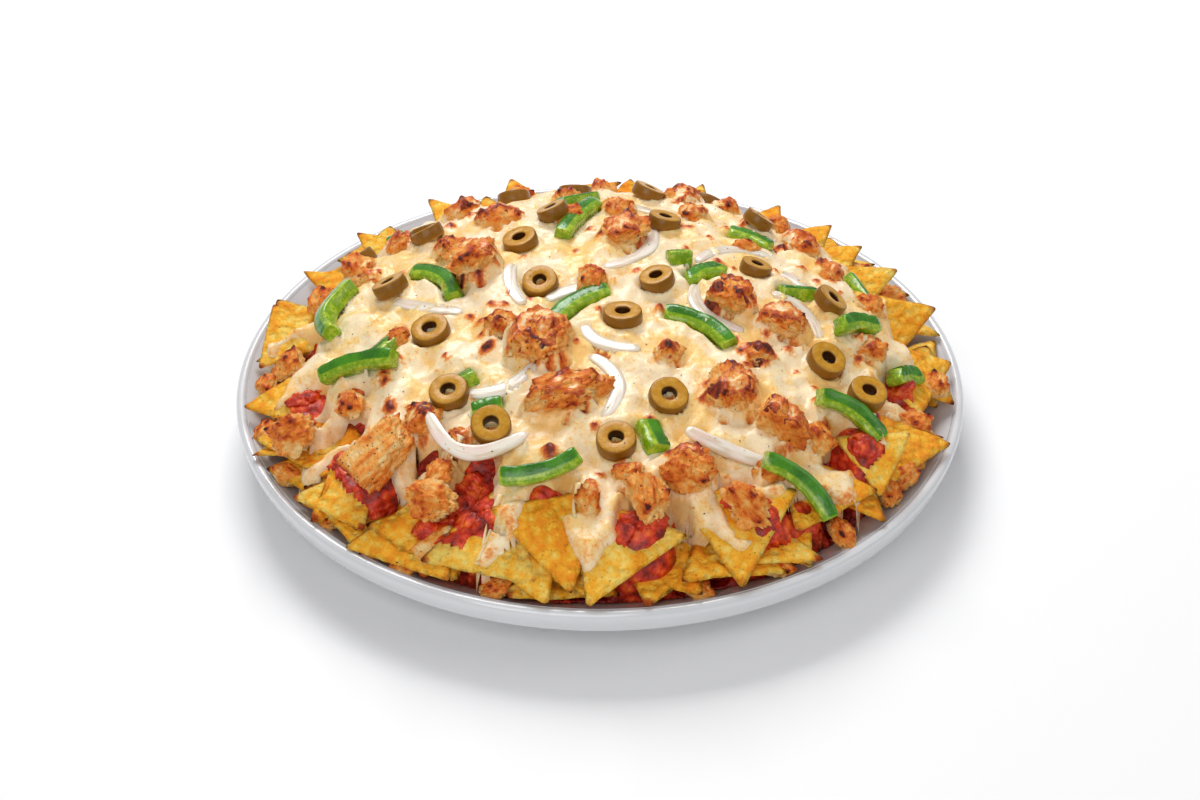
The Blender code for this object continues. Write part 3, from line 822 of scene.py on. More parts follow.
class Ground:
    """A square grid of places over the plate, on which heights are worked out."""

    def __init__(self, reach: float, step: float) -> None:
        """Lay out the grid.

        Args:
            reach: Half its side.
            step: The distance between its points.
        """
        self.step = step
        count = int(round(2 * reach / step)) + 1
        self.axis = (np.arange(count) - (count - 1) / 2) * step
        self.x, self.y = np.meshgrid(self.axis, self.axis, indexing="ij")
        self.r = np.hypot(self.x, self.y)
        self.bearing = np.degrees(np.arctan2(self.y, self.x))
        self.flat = np.stack([self.x, self.y, np.zeros_like(self.x)], axis=-1)

    def gap(self, x: float, y: float) -> Array:
        """How far every place is from (x, y)."""
        return np.hypot(self.x - x, self.y - y)

    def apart(self, bearing: float) -> Array:
        """Degrees between every place's bearing and another, from -180 to 180."""
        return (self.bearing - bearing + 180) % 360 - 180

    def drop(self, batch: Batch) -> Array:
        """Height of a batch's top over each place, far below where it has none.

        Args:
            batch: The bits that lie over the grid.

        Returns:
            Heights on the grid.
        """
        tree = batch.tree()
        low, high = batch.box()
        heights = np.full(self.x.shape, FAR_BELOW)
        first = np.searchsorted(self.axis, low[:2])
        last = np.searchsorted(self.axis, high[:2])
        down = Vector((0, 0, -1))
        over = high[2] + 1
        for i in range(first[0], min(last[0], len(self.axis))):
            for j in range(first[1], min(last[1], len(self.axis))):
                hit = tree.ray_cast(Vector((self.axis[i], self.axis[j], over)), down)[0]
                if hit is not None:
                    heights[i, j] = hit.z
        return heights

    def blur(self, values: Array, width: float) -> Array:
        """Values smoothed by a bell of a width.

        Args:
            values: Numbers on the grid.
            width: The bell's width.

        Returns:
            The smoothed numbers.
        """
        reach = int(math.ceil(2.5 * width / self.step))
        offsets = np.arange(-reach, reach + 1) * self.step
        bell = np.exp(-0.5 * (offsets / width) ** 2)
        bell /= bell.sum()
        for _ in range(2):
            padded = np.pad(values, ((reach, reach), (0, 0)), mode="edge")
            values = sum(share * padded[k : k + values.shape[0]] for k, share in enumerate(bell)).T
        return values

    def widen(self, values: Array, reach: float) -> Array:
        """The highest value within a reach of each place."""
        return self.skirt(values, 0.0, reach)

    def skirt(self, values: Array, slope: float, reach: float) -> Array:
        """Values with falls eased to a slope, except towards -Y, where they stay steeper.

        Args:
            values: Heights on the grid.
            slope: The steepest fall that stays.
            reach: How far the falls are eased.

        Returns:
            The eased heights.
        """
        steps = int(round(reach / self.step))
        best = values
        for i, j in itertools.product(range(-steps, steps + 1), repeat=2):
            gap = math.hypot(i, j)
            if 0 < gap <= steps:
                fall = slope * gap * self.step * (1 + 3 * max(0.0, -j / gap))
                best = np.maximum(best, np.roll(values, (i, j), (0, 1)) - fall)
        return best

    def pick(self, values: Array, x: Array, y: Array) -> Array:
        """Values between the grid's points, at places (x, y).

        Args:
            values: Numbers on the grid.
            x: Where the places lie along X.
            y: Where they lie along Y.

        Returns:
            The numbers there.
        """
        i = np.clip((np.asarray(x) - self.axis[0]) / self.step, 0, len(self.axis) - 1.001)
        j = np.clip((np.asarray(y) - self.axis[0]) / self.step, 0, len(self.axis) - 1.001)
        a, b = i.astype(int), j.astype(int)
        u, v = i - a, j - b
        near = values[a, b] * (1 - v) + values[a, b + 1] * v
        far = values[a + 1, b] * (1 - v) + values[a + 1, b + 1] * v
        return near * (1 - u) + far * u

    def normal(self, values: Array, x: float, y: float, span: float = 4.0) -> Array:
        """Unit normal of the heights near a place.

        Args:
            values: Heights on the grid.
            x: The place along X.
            y: The place along Y.
            span: How far out the slope is taken.

        Returns:
            The normal.
        """
        dx = self.pick(values, x + span, y) - self.pick(values, x - span, y)
        dy = self.pick(values, x, y + span) - self.pick(values, x, y - span)
        normal = np.array([-dx, -dy, 2 * span], float)
        return normal / np.linalg.norm(normal)

    def sheet(self, batch: Batch, top: Array, bottom: Array, keep: Array, **marks: Array) -> None:
        """Add a closed layer between two heights.

        Args:
            batch: The piece to add it to.
            top: Heights of its upper face.
            bottom: Heights of its lower face.
            keep: Which of the grid's points it has.
            marks: Numbers that its points carry, as grids.
        """
        cells = keep[:-1, :-1] & keep[1:, :-1] & keep[:-1, 1:] & keep[1:, 1:]
        used = np.zeros(keep.shape, bool)
        for i, j in itertools.product((0, 1), repeat=2):
            used[i : i + cells.shape[0], j : j + cells.shape[1]] |= cells
        number = np.cumsum(used).reshape(used.shape) - 1
        total = int(used.sum())
        a, b = np.nonzero(cells)
        ring = [number[a, b], number[a + 1, b], number[a + 1, b + 1], number[a, b + 1]]
        quads = np.stack(ring, axis=1)
        faces = [quads, quads[:, ::-1] + total]
        padded = np.pad(cells, 1)
        for side, (di, dj) in enumerate(((0, -1), (1, 0), (0, 1), (-1, 0))):
            outer = ~padded[1 + a + di, 1 + b + dj]
            start, end = quads[outer, side], quads[outer, (side + 1) % 4]
            faces.append(np.stack([end, start, start + total, end + total], axis=1))
        places = np.stack([self.x[used], self.y[used]], axis=1)
        upper = np.column_stack([places, top[used]])
        lower = np.column_stack([places, bottom[used]])
        carried = {key: np.tile(values[used], 2) for key, values in marks.items()}
        batch.add(np.concatenate([upper, lower]), np.concatenate(faces).tolist(), **carried)


@dataclass(frozen=True)
class Perch:
    """Where and how a piece of topping sits."""

    centre: Array
    axes: Array

    def world(self, points: Array) -> Array:
        """Points given along the perch's axes, in the part's frame."""
        return self.centre + points @ self.axes


def axes_about(normal: Array, turn: float) -> Array:
    """Rows of three axes: the third along a normal, the first turned about it.

    Args:
        normal: The third axis.
        turn: The first axis's bearing from +X.

    Returns:
        The axes, one in each row.
    """
    up = np.asarray(normal, float) / np.linalg.norm(normal)
    heading = np.array([math.cos(math.radians(turn)), math.sin(math.radians(turn)), 0.0])
    first = heading - up * (heading @ up)
    first /= np.linalg.norm(first)
    return np.stack([first, np.cross(up, first), up])


def node_points(name: str) -> Array:
    """The points of one node of the part, in millimetres."""
    points = [vertex.co[:] for vertex in frame["nodes"][name].data.vertices]
    return np.unique(np.round(np.array(points) / MM, 3), axis=0)


def node_box(name: str) -> tuple[Array, Array]:
    """Lowest and highest corners of one node of the part, in millimetres."""
    low, high = (np.array(corner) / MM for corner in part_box(name))
    return low, high


def node_names(kind: str) -> list[str]:
    """The part's nodes of one kind, in order."""
    return sorted(name for name in frame["nodes"] if name.startswith(kind + "_"))


def perch_of(points: Array) -> tuple[Perch, Array]:
    """The perch of a node's points, and its three sizes.

    Args:
        points: The node's points.

    Returns:
        A perch whose third axis is the most upright, and the sizes along its axes.
    """
    low, high = points.min(0), points.max(0)
    centre = (low + high) / 2
    _, _, rows = np.linalg.svd(points - points.mean(0), full_matrices=False)
    upright = int(np.argmax(np.abs(rows[:, 2])))
    third = rows[upright] * np.sign(rows[upright, 2])
    first = rows[[k for k in range(3) if k != upright][0]]
    axes = np.stack([first, np.cross(third, first), third])
    local = (points - centre) @ axes.T
    return Perch(centre, axes), local.max(0) - local.min(0)


def flattest_axis(points: Array) -> Array:
    """The upward axis along which points spread least."""
    _, _, rows = np.linalg.svd(points - points.mean(0), full_matrices=False)
    return rows[2] * np.sign(rows[2, 2])


# --- plate


@dataclass
class Plate:
    """A shallow round dish with a steep rolled rim and a foot ring."""

    wall: float = 4.6
    foot_radius: float = 84.0
    foot_width: float = 7.0
    foot_recess: float = 2.4
    rim_band: float = 9.0
    segments: int = 200
    finish: Porcelain = Porcelain()

    def profile(self) -> list[Pair]:
        """The plate cut through, from the middle below, out, up and back in.

        Returns:
            Its (radius, height) points.
        """
        radius, rim = DOME.plate_radius, DOME.rim_height
        inner = self.foot_radius - self.foot_width
        recess = self.foot_recess
        line = [(0.0, recess), (inner - 6, recess), (inner - 2, recess - 0.2)]
        line += [(inner - 0.8, 1.0), (inner - 0.2, 0.25), (inner + 0.6, 0.0), (self.foot_radius - 0.6, 0.0)]
        line += [(self.foot_radius, 0.3), (self.foot_radius + 1.2, 1.3)]
        for distance in np.linspace(self.foot_radius + 4, radius - 6, 22):
            lift = float(DOME.plate_top(distance)) - self.wall
            line.append((float(distance), max(lift, 2.0 + 0.12 * (distance - self.foot_radius - 4))))
        start, low = line[-1]
        band = rim - self.rim_band
        for share in (0.25, 0.5, 0.75):
            line.append((start + (radius - 1.6 - start) * share**0.7, low + (band - low) * share))
        line += [(radius - 1.6, band), (radius - 1.2, band + 1.2)]
        line += [(radius - 0.6, rim - 6.0), (radius - 0.15, rim - 4.0), (radius, rim - 2.4)]
        curl = 2.2
        for angle in np.linspace(10, 170, 9):
            turn = math.radians(angle)
            line.append((radius + curl * (math.cos(turn) - 1), rim + curl * (math.sin(turn) - 1)))
        for distance in np.linspace(radius - DOME.rim_width, DOME.floor_radius, 26):
            line.append((float(distance), float(DOME.plate_top(distance))))
        return line + [(out, DOME.plate_floor) for out in (DOME.floor_radius - 8, 40.0, 0.0)]

    def build(self) -> bpy.types.Object:
        """Make the plate, standing for its node.

        Returns:
            The new piece.
        """
        line = np.array(self.profile())
        turns = np.linspace(0, math.tau, self.segments, endpoint=False)
        ring = np.stack([np.cos(turns), np.sin(turns)], axis=1)
        body = line[1:-1]
        level = np.ones(self.segments)
        points = [np.column_stack([ring * radius, level * height]) for radius, height in body]
        points.append(np.array([[0, 0, line[0, 1]], [0, 0, line[-1, 1]]]))
        faces = []
        last = len(body) * self.segments
        for step in range(self.segments):
            after = (step + 1) % self.segments
            faces.append([last, after, step])
            top = (len(body) - 1) * self.segments
            faces.append([last + 1, top + step, top + after])
            for row in range(len(body) - 1):
                low, high = row * self.segments, (row + 1) * self.segments
                faces.append([low + step, low + after, high + after, high + step])
        joined = np.concatenate(points)
        r = np.hypot(joined[:, 0], joined[:, 1])
        inside = (joined[:, 2] > DOME.plate_top(r) - 0.5) & (r < DOME.plate_radius - 3)
        # painted reflection: the inner wall below the rim, where the food's warm bounce is painted and an
        # oily film roughens the glaze
        oil_and_bounce = inside * smooth_step(r, 146, 132)
        batch = Batch("serving_plate")
        batch.add(joined, faces, oil_and_bounce=oil_and_bounce)
        return batch.build(self.finish.make(), ["plate"], "porcelain", crease=60)


# --- chips


@dataclass(frozen=True)
class Chip:
    """One tortilla chip: a corner, the heading of its middle line, its rise and roll."""

    x: float
    y: float
    z: float
    heading: float
    rise: float
    roll: float
    size: float

    def perch(self) -> Perch:
        """The chip's own frame.

        Returns:
            A perch whose first axis is its middle line and whose third stands on its face.
        """
        turn = Matrix.Rotation(math.radians(self.heading), 3, "Z")
        turn = turn @ Matrix.Rotation(math.radians(-self.rise), 3, "Y")
        turn = turn @ Matrix.Rotation(math.radians(self.roll), 3, "X")
        return Perch(np.array([self.x, self.y, self.z]), np.array(turn.transposed()))


@dataclass
class Chips:
    """The chips that show round the heap's edge, over smaller ones packed below."""

    side: float = 48.0
    thickness: float = 1.9
    steps: int = 26
    rounding: float = 13.0
    bow: float = 1.7
    packed: int = 33
    finish: ToastedCorn = ToastedCorn()
    shown: tuple[Chip, ...] = (
        Chip(-111, -100, 30, 50, 0, 44, 1.0), Chip(-97, -113, 29.5, 1, 12, 17, 1.0),
        Chip(-33, -98, 51, 252, -25, 0, 1.0), Chip(-19, -148, 29.6, 112, 20, -12, 1.05),
        Chip(-10, -146, 34, 106, 29, 2, 0.95), Chip(-5, -149, 29.6, 64, 26, 8, 1.0),
        Chip(17, -148, 29.8, 80, 8, 0, 1.0), Chip(52, -139.5, 30, 92, 26, 0, 1.0),
        Chip(19, -146, 30.4, 87, -8, 4, 0.95), Chip(79, -126, 29.6, 118, 14, 0, 0.9),
        Chip(68, -74, 49, 308, -18, 0, 0.9), Chip(84, -123, 29.6, 160, 6, 0, 1.0),
        Chip(107, -91, 34, 95, 30, 0, 0.65), Chip(140, -52, 31, 196, 10, -14, 1.0),
        Chip(147, 2, 33, 218, 15, -22, 1.0), Chip(142, 24, 45, 200, -8, -40, 1.0),
        Chip(129, 54, 45, 204, -6, -12, 0.9), Chip(115, 71, 45, 214, -7, -6, 0.9),
        Chip(103, 88, 45, 222, -8, 0, 0.9), Chip(81, 105, 46, 234, -9, 0, 0.9),
        Chip(47, 124, 46, 248, -9, 0, 0.9), Chip(14, 129, 46, 264, -9, 0, 0.9),
        Chip(-41, 127, 47, 290, -9, 0, 0.9), Chip(-78, 111, 46, 318, -8, 0, 0.9),
        Chip(-63, 114, 46, 290, -9, 0, 0.9), Chip(-108, 86, 44, 322, -7, 0, 0.9),
        Chip(-129, 57, 42, 336, -6, 0, 0.9), Chip(-108, 8, 38, 176, 3, -16, 0.75),
        Chip(-145, -30, 33, 2, 10, 16, 0.9), Chip(-138, -50, 33, -15, 2, -8, 1.0),
        Chip(-138, -59, 29, 20, 6, -10, 0.9), Chip(-119, -86, 31, -8, 10, 10, 0.8),
    )

    def __post_init__(self) -> None:
        """Start the noise, the random numbers and the piece."""
        self.grain = Grain(SEED)
        self.dice = np.random.default_rng(SEED)
        self.batch = Batch("tortilla_chips")

    def packed_chips(self) -> list[Chip]:
        """Lay chips lower down, which fill the gaps between those that show.

        Returns:
            Their places.
        """
        dice, made = self.dice, []
        for number in range(self.packed):
            bearing = 360 * (number + dice.uniform(-0.3, 0.3)) / self.packed
            turn = math.radians(bearing)
            outwards = number % 3 == 0
            reach = dice.uniform(100, 105) if outwards else dice.uniform(144, 148.5)
            height = DOME.rim_height + (dice.uniform(2, 5) if outwards else dice.uniform(0, 2.5))
            heading = bearing + (dice.uniform(-20, 20) if outwards else 180 + dice.uniform(-45, 45))
            rise = dice.uniform(-6, 0) if outwards else dice.uniform(-6, 12)
            place = (reach * math.cos(turn), reach * math.sin(turn), height)
            made.append(Chip(*place, heading, rise, dice.uniform(-12, 12), dice.uniform(0.85, 1.0)))
        return made

    @staticmethod
    def faces(row: Array, column: Array, border: Array) -> list[tuple[int, ...]]:
        """Faces of both sides of a chip, which share the points of its border.

        Args:
            row: Each point's row, from the tip to the far side.
            column: Its place in the row.
            border: Whether it is on the border.

        Returns:
            The faces, as numbers of the upper points and then of the lower ones within the border.
        """
        number = {(i, j): k for k, (i, j) in enumerate(zip(row.tolist(), column.tolist()))}
        under = np.where(border, np.arange(len(row)), 0)
        under[~border] = len(row) + np.arange(int((~border).sum()))
        found = []
        for i, j in itertools.product(range(int(row.max())), repeat=2):
            if j > i:
                continue
            cells = [(number[i, j], number[i + 1, j], number[i + 1, j + 1])]
            if j < i:
                cells.append((number[i, j], number[i + 1, j + 1], number[i, j + 1]))
            for cell in cells:
                found += [cell, tuple(int(under[k]) for k in reversed(cell))]
        return found

    def add(self, chip: Chip, steps: int) -> None:
        """Add one chip: a thin bent triangle with blunt corners and an uneven edge.

        Args:
            chip: Its place.
            steps: How finely its sides are divided.
        """
        dice, grain = self.dice, self.grain
        side = self.side * chip.size
        length = side * math.sqrt(3) / 2
        row, column = np.array([(i, j) for i in range(steps + 1) for j in range(i + 1)]).T
        shares = np.stack([steps - row, row - column, column], axis=1) / steps
        corners = np.array([[0, 0], [length, -side / 2], [length, side / 2]])
        flat = shares @ corners - (2 * length / 3, 0)
        bearing = np.arctan2(flat[:, 1], flat[:, 0])
        facing = np.maximum(np.cos(bearing[:, None] - np.radians([0, 120, 240])), 1e-6)
        blunt = facing.max(1) / (facing**self.rounding).sum(1) ** (1 / self.rounding)
        offset = dice.uniform(-500, 500, 3)
        ragged = grain.layered(np.column_stack([flat, 0 * bearing]) + offset, 5.0, 3)
        edge = 1 - 3 * shares.min(1)
        flat = flat * (blunt * (1 + 0.028 * ragged * smooth_step(edge, 0.6, 1.0)))[:, None]
        across = flat[:, 1] / side
        along = flat[:, 0] / length + 2 / 3
        bow = self.bow * dice.choice((-1, 1)) * dice.uniform(0.5, 1.0)
        lift = bow * (0.6 * (1 - 4 * across**2) + 0.4 * (1 - (2 * along - 1) ** 2))
        spots = np.column_stack([flat, lift]) + offset
        lift = lift + 0.75 * grain.at(spots, 11.0) + 0.42 * grain.layered(spots, 4.2, 2)
        border = (row == steps) | (column == 0) | (column == row)
        half = np.where(border, 0, self.thickness / 2)
        swell = 0.3 * grain.at(spots + 90, 3.5) * ~border
        middle = flat + (2 * length / 3, 0)
        upper = np.column_stack([middle, lift + half + swell])
        lower = np.column_stack([middle, lift - half + swell])
        points = np.concatenate([upper, lower[~border]])
        corner = smooth_step(shares.max(1), 0.8, 0.97) * dice.uniform(0.5, 1.05)
        toast = np.maximum(corner, smooth_step(edge, 0.82, 1.0) * 0.28)
        toast = toast + 0.18 * grain.at(spots, 14.0)
        toast = np.concatenate([toast, toast[~border]])
        tint = np.full(len(points), dice.uniform(0, 1))
        faces = self.faces(row, column, border)
        self.batch.add(chip.perch().world(points), faces, toast=toast, tint=tint)

    def build(self) -> Batch:
        """Make all chips, standing for the heap's solid.

        Returns:
            The piece's mesh.
        """
        for chip in self.shown:
            self.add(chip, self.steps)
        for chip in self.packed_chips():
            self.add(chip, self.steps * 2 // 3)
        self.batch.build(self.finish.make(), ["chip_heap"], "tortilla_chip")
        return self.batch


# --- salsa


@dataclass
class Salsa:
    """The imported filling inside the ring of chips, with tomato salsa over it."""

    depth: float = 8.8
    clearance: float = 7.5
    shoulder: float = 6.5
    shoulder_span: Pair = (106.0, 122.0)
    front_drop: float = 6.0
    reach: float = 129.0
    margin: float = 14.0
    edge_width: float = 12.0
    spill: Triple = (275.0, 52.0, 8.0)
    step: float = 1.6
    softness: float = 1.7
    lumps: int = 300
    lump_sizes: Pair = (2.2, 6.0)
    lump_flatness: float = 0.4
    lump_ring: Pair = (96.0, 129.0)
    mounds: Mapping[str, float] = field(
        default_factory=lambda: {"olive": 7.0, "pepper": 7.0, "onion": 5.0, "chicken": 9.0}
    )
    mounds_from: float = 84.0
    mound_reach: float = 11.0
    finish: TomatoSalsa = TomatoSalsa()
    pools: tuple[Triple, ...] = (
        (-100, -82, 11), (-93, -93, 8), (-50, -101, 10), (-46, -113, 8), (-57, -123, 7),
        (-121, -36, 9), (-128, -56, 8), (15, -121, 9), (54, -109, 7), (64, -117, 7),
        (124, -29, 9), (136, -25, 6), (101, -74, 9),
    )

    def __post_init__(self) -> None:
        """Lay out the grid, and the noise over it."""
        self.grain = Grain(SEED + 1)
        self.ground = Ground(self.reach + self.margin, self.step)
        self.rough = self.grain.layered(self.ground.flat, 9.0, 3)

    def build(self, chips: Batch) -> Array:
        """The salsa, standing for its node.

        Args:
            chips: The chips that it lies over and between.

        Returns:
            The heights of its top, on its grid.
        """
        ground = self.ground
        fill, keep = self.filling()
        top = self.sauce(fill, np.maximum(fill, ground.drop(chips)))
        top = ground.blur(self.heap_up(top), self.softness)
        # painted shade: marks where the salsa lies low on the filling, between the chips, to darken it there
        low = smooth_step(fill + 3.0 - top, 0, 3.0)
        bottom = np.minimum(DOME.plate_top(ground.r) + 0.4, top - 0.6)
        batch = Batch("tomato_salsa")
        ground.sheet(batch, top, bottom, keep, low=low)
        self.add_lumps(batch, top)
        batch.build(self.finish.make(), ["salsa"], "salsa")
        return top

    def filling(self) -> tuple[Array, Array]:
        """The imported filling, with thin salsa spilt in front of it.

        Returns:
            Its heights, and which of the grid's points it has.
        """
        ground, grain, rough = self.ground, self.grain, self.rough
        plate = DOME.plate_top(ground.r)
        reach = self.reach + 3.5 * grain.at(ground.flat + 40, 17.0)
        share = np.sqrt(np.clip((reach - ground.r) / self.edge_width, 0, 1))
        bearing, spread, further = self.spill
        ahead = np.exp(-((ground.apart(bearing) / spread) ** 4))
        shoulder = self.shoulder + self.front_drop * ahead
        crown = DOME.height(ground.r) - self.depth - shoulder * smooth_step(ground.r, *self.shoulder_span)
        fill = plate - 1.5 + (crown + 1.5 - plate + 1.7 * rough) * share
        spilt = ground.r < self.reach + (further * ahead + 3 * rough)
        fill = np.where(spilt, np.maximum(fill, plate + 2.0 + rough), fill)
        return fill, (ground.r < self.reach + 3) & (share > 0) | spilt

    def sauce(self, fill: Array, under: Array) -> Array:
        """Drape sauce over the chips and the filling.

        Args:
            fill: Heights of the filling.
            under: Heights of the filling and the chips.

        Returns:
            The heights of its top.
        """
        ground, grain = self.ground, self.grain
        draped = ground.blur(ground.widen(under, 1.6), 2.0)
        wet = -0.35 + 0.9 * grain.layered(ground.flat + 77, 19.0, 2) - smooth_step(ground.r, 112, 128)
        for x, y, size in self.pools:
            wet = np.maximum(wet, 1.1 - ground.gap(x, y) / size)
        wet = np.where(ground.r < 100, np.maximum(wet, 0.5), wet)
        cover = np.clip(wet, -0.6, 0.7) * 3.6 + 0.9 * grain.layered(ground.flat + 9, 5.5, 2)
        top = np.maximum(fill, np.where(wet > -0.5, draped + cover - 0.8, FAR_BELOW))
        ceiling = np.maximum(DOME.height(ground.r) - self.clearance, fill)
        return np.where(ground.r < 108, np.minimum(top, ceiling), top)

    def heap_up(self, top: Array) -> Array:
        """Raise the salsa in its pools, and under the toppings that lie near the heap's edge.

        Args:
            top: The salsa's top.

        Returns:
            The new top.
        """
        ground, rough = self.ground, self.rough
        for x, y, size in self.pools:
            gap = ground.gap(x, y) / (1.25 * size)
            mound = DOME.height(ground.r) - 6.5 - 9 * gap**2.5 + 1.5 * rough
            top = np.maximum(top, np.where(gap < 1.2, mound, FAR_BELOW))
        for kind, sunk in self.mounds.items():
            for name in node_names(kind):
                x, y, middle = sum(node_box(name)) / 2
                if math.hypot(x, y) > self.mounds_from:
                    gap = ground.gap(x, y) * np.clip(1.15 + 0.3 * rough, 0.9, 2)
                    mound = middle - sunk - 0.09 * gap**2 + 1.2 * rough
                    top = np.maximum(top, np.where(gap < self.mound_reach, mound, FAR_BELOW))
        return top

    def add_lumps(self, batch: Batch, top: Array) -> None:
        """Scatter chunks of tomato over the salsa where it can show.

        Args:
            batch: The piece to add them to.
            top: The heights they lie on.
        """
        dice = np.random.default_rng(SEED + 2)
        grain = Grain(SEED + 3)
        ball, faces = unit_ball(3)
        pools = np.array(self.pools)
        for number in range(self.lumps):
            if number % 2:
                pool = pools[dice.integers(len(pools))]
                spot = pool[:2] + dice.normal(size=2) * pool[2] * 0.5
            else:
                bearing, distance = dice.uniform(0, math.tau), dice.uniform(*self.lump_ring)
                spot = np.array([math.cos(bearing), math.sin(bearing)]) * distance
            if np.hypot(*spot) > self.reach - 2:
                continue
            size = dice.uniform(*self.lump_sizes, 3) * (1, 1, self.lump_flatness)
            shape = ball * (1 + 0.5 * grain.at(ball + number * 3.1, 0.8))[:, None] * size
            height = float(self.ground.pick(top, *spot)) - 0.2 * size[2]
            up = self.ground.normal(top, *spot)
            perch = Perch(np.array([*spot, height]), axes_about(up, dice.uniform(0, 360)))
            batch.add(perch.world(shape), faces, low=np.zeros(len(ball)))


def unit_ball(divisions: int) -> tuple[Array, list[list[int]]]:
    """Points and faces of an even ball of radius 1.

    Args:
        divisions: How finely it is divided.

    Returns:
        Its points, and its faces as numbers of them.
    """
    shape = bmesh.new()
    bmesh.ops.create_icosphere(shape, subdivisions=divisions, radius=1.0)
    points = np.array([vertex.co[:] for vertex in shape.verts])
    faces = [[vertex.index for vertex in face.verts] for face in shape.faces]
    shape.free()
    return points, faces


# --- toppings


@dataclass
class Toppings:
    """Pieces of one kind that lie on the cheese, with those that stand for nodes first.

    Attributes:
        ground: The cheese's grid.
        base: The cheese's level on it.
        finish: Their finish.
        piece: The name of the piece that holds them all.
        kind: How their nodes' names start.
        slot: Their material slot.
        seed: What their noise is seeded with.
        spacing: How far apart they lie in that noise.
        crease: The angle over which an edge stays sharp.
    """

    ground: Ground
    base: Array
    finish: Any = None
    piece: ClassVar[str]
    kind: ClassVar[str]
    slot: ClassVar[str]
    seed: ClassVar[int]
    spacing: ClassVar[float] = 0
    crease: ClassVar[float] = 180

    def __post_init__(self) -> None:
        """Start the noise that makes them uneven, and the piece."""
        self.grain = Grain(SEED + self.seed)
        self.batch = Batch(self.piece)

    def places(self) -> Sequence[Any]:
        """Where every piece lies."""
        raise NotImplementedError

    def add(self, place: Any, offset: float) -> None:
        """Add the piece that lies at a place, at an offset in the noise."""
        raise NotImplementedError

    def build(self) -> list[Batch]:
        """Make all pieces, standing for their nodes.

        Returns:
            The meshes that the cheese flows round.
        """
        for number, place in enumerate(self.places()):
            self.add(place, self.spacing * number)
        self.batch.build(self.finish.make(), node_names(self.kind), self.slot, self.crease)
        return [self.batch]


# --- chicken


class Cut(Enum):
    """How a chunk came apart: sharpness of its edges, unevenness of its cuts, depth of tears."""

    TORN = (12.0, 0.34, 0.28)
    SLICED = (13.0, 0.16, 0.15)


@dataclass(frozen=True)
class Chunk:
    """A chunk of chicken: its place, sizes, turn and cut."""

    x: float
    y: float
    length: float
    width: float
    height: float
    turn: float
    cut: Cut = Cut.TORN
    z: float | None = None


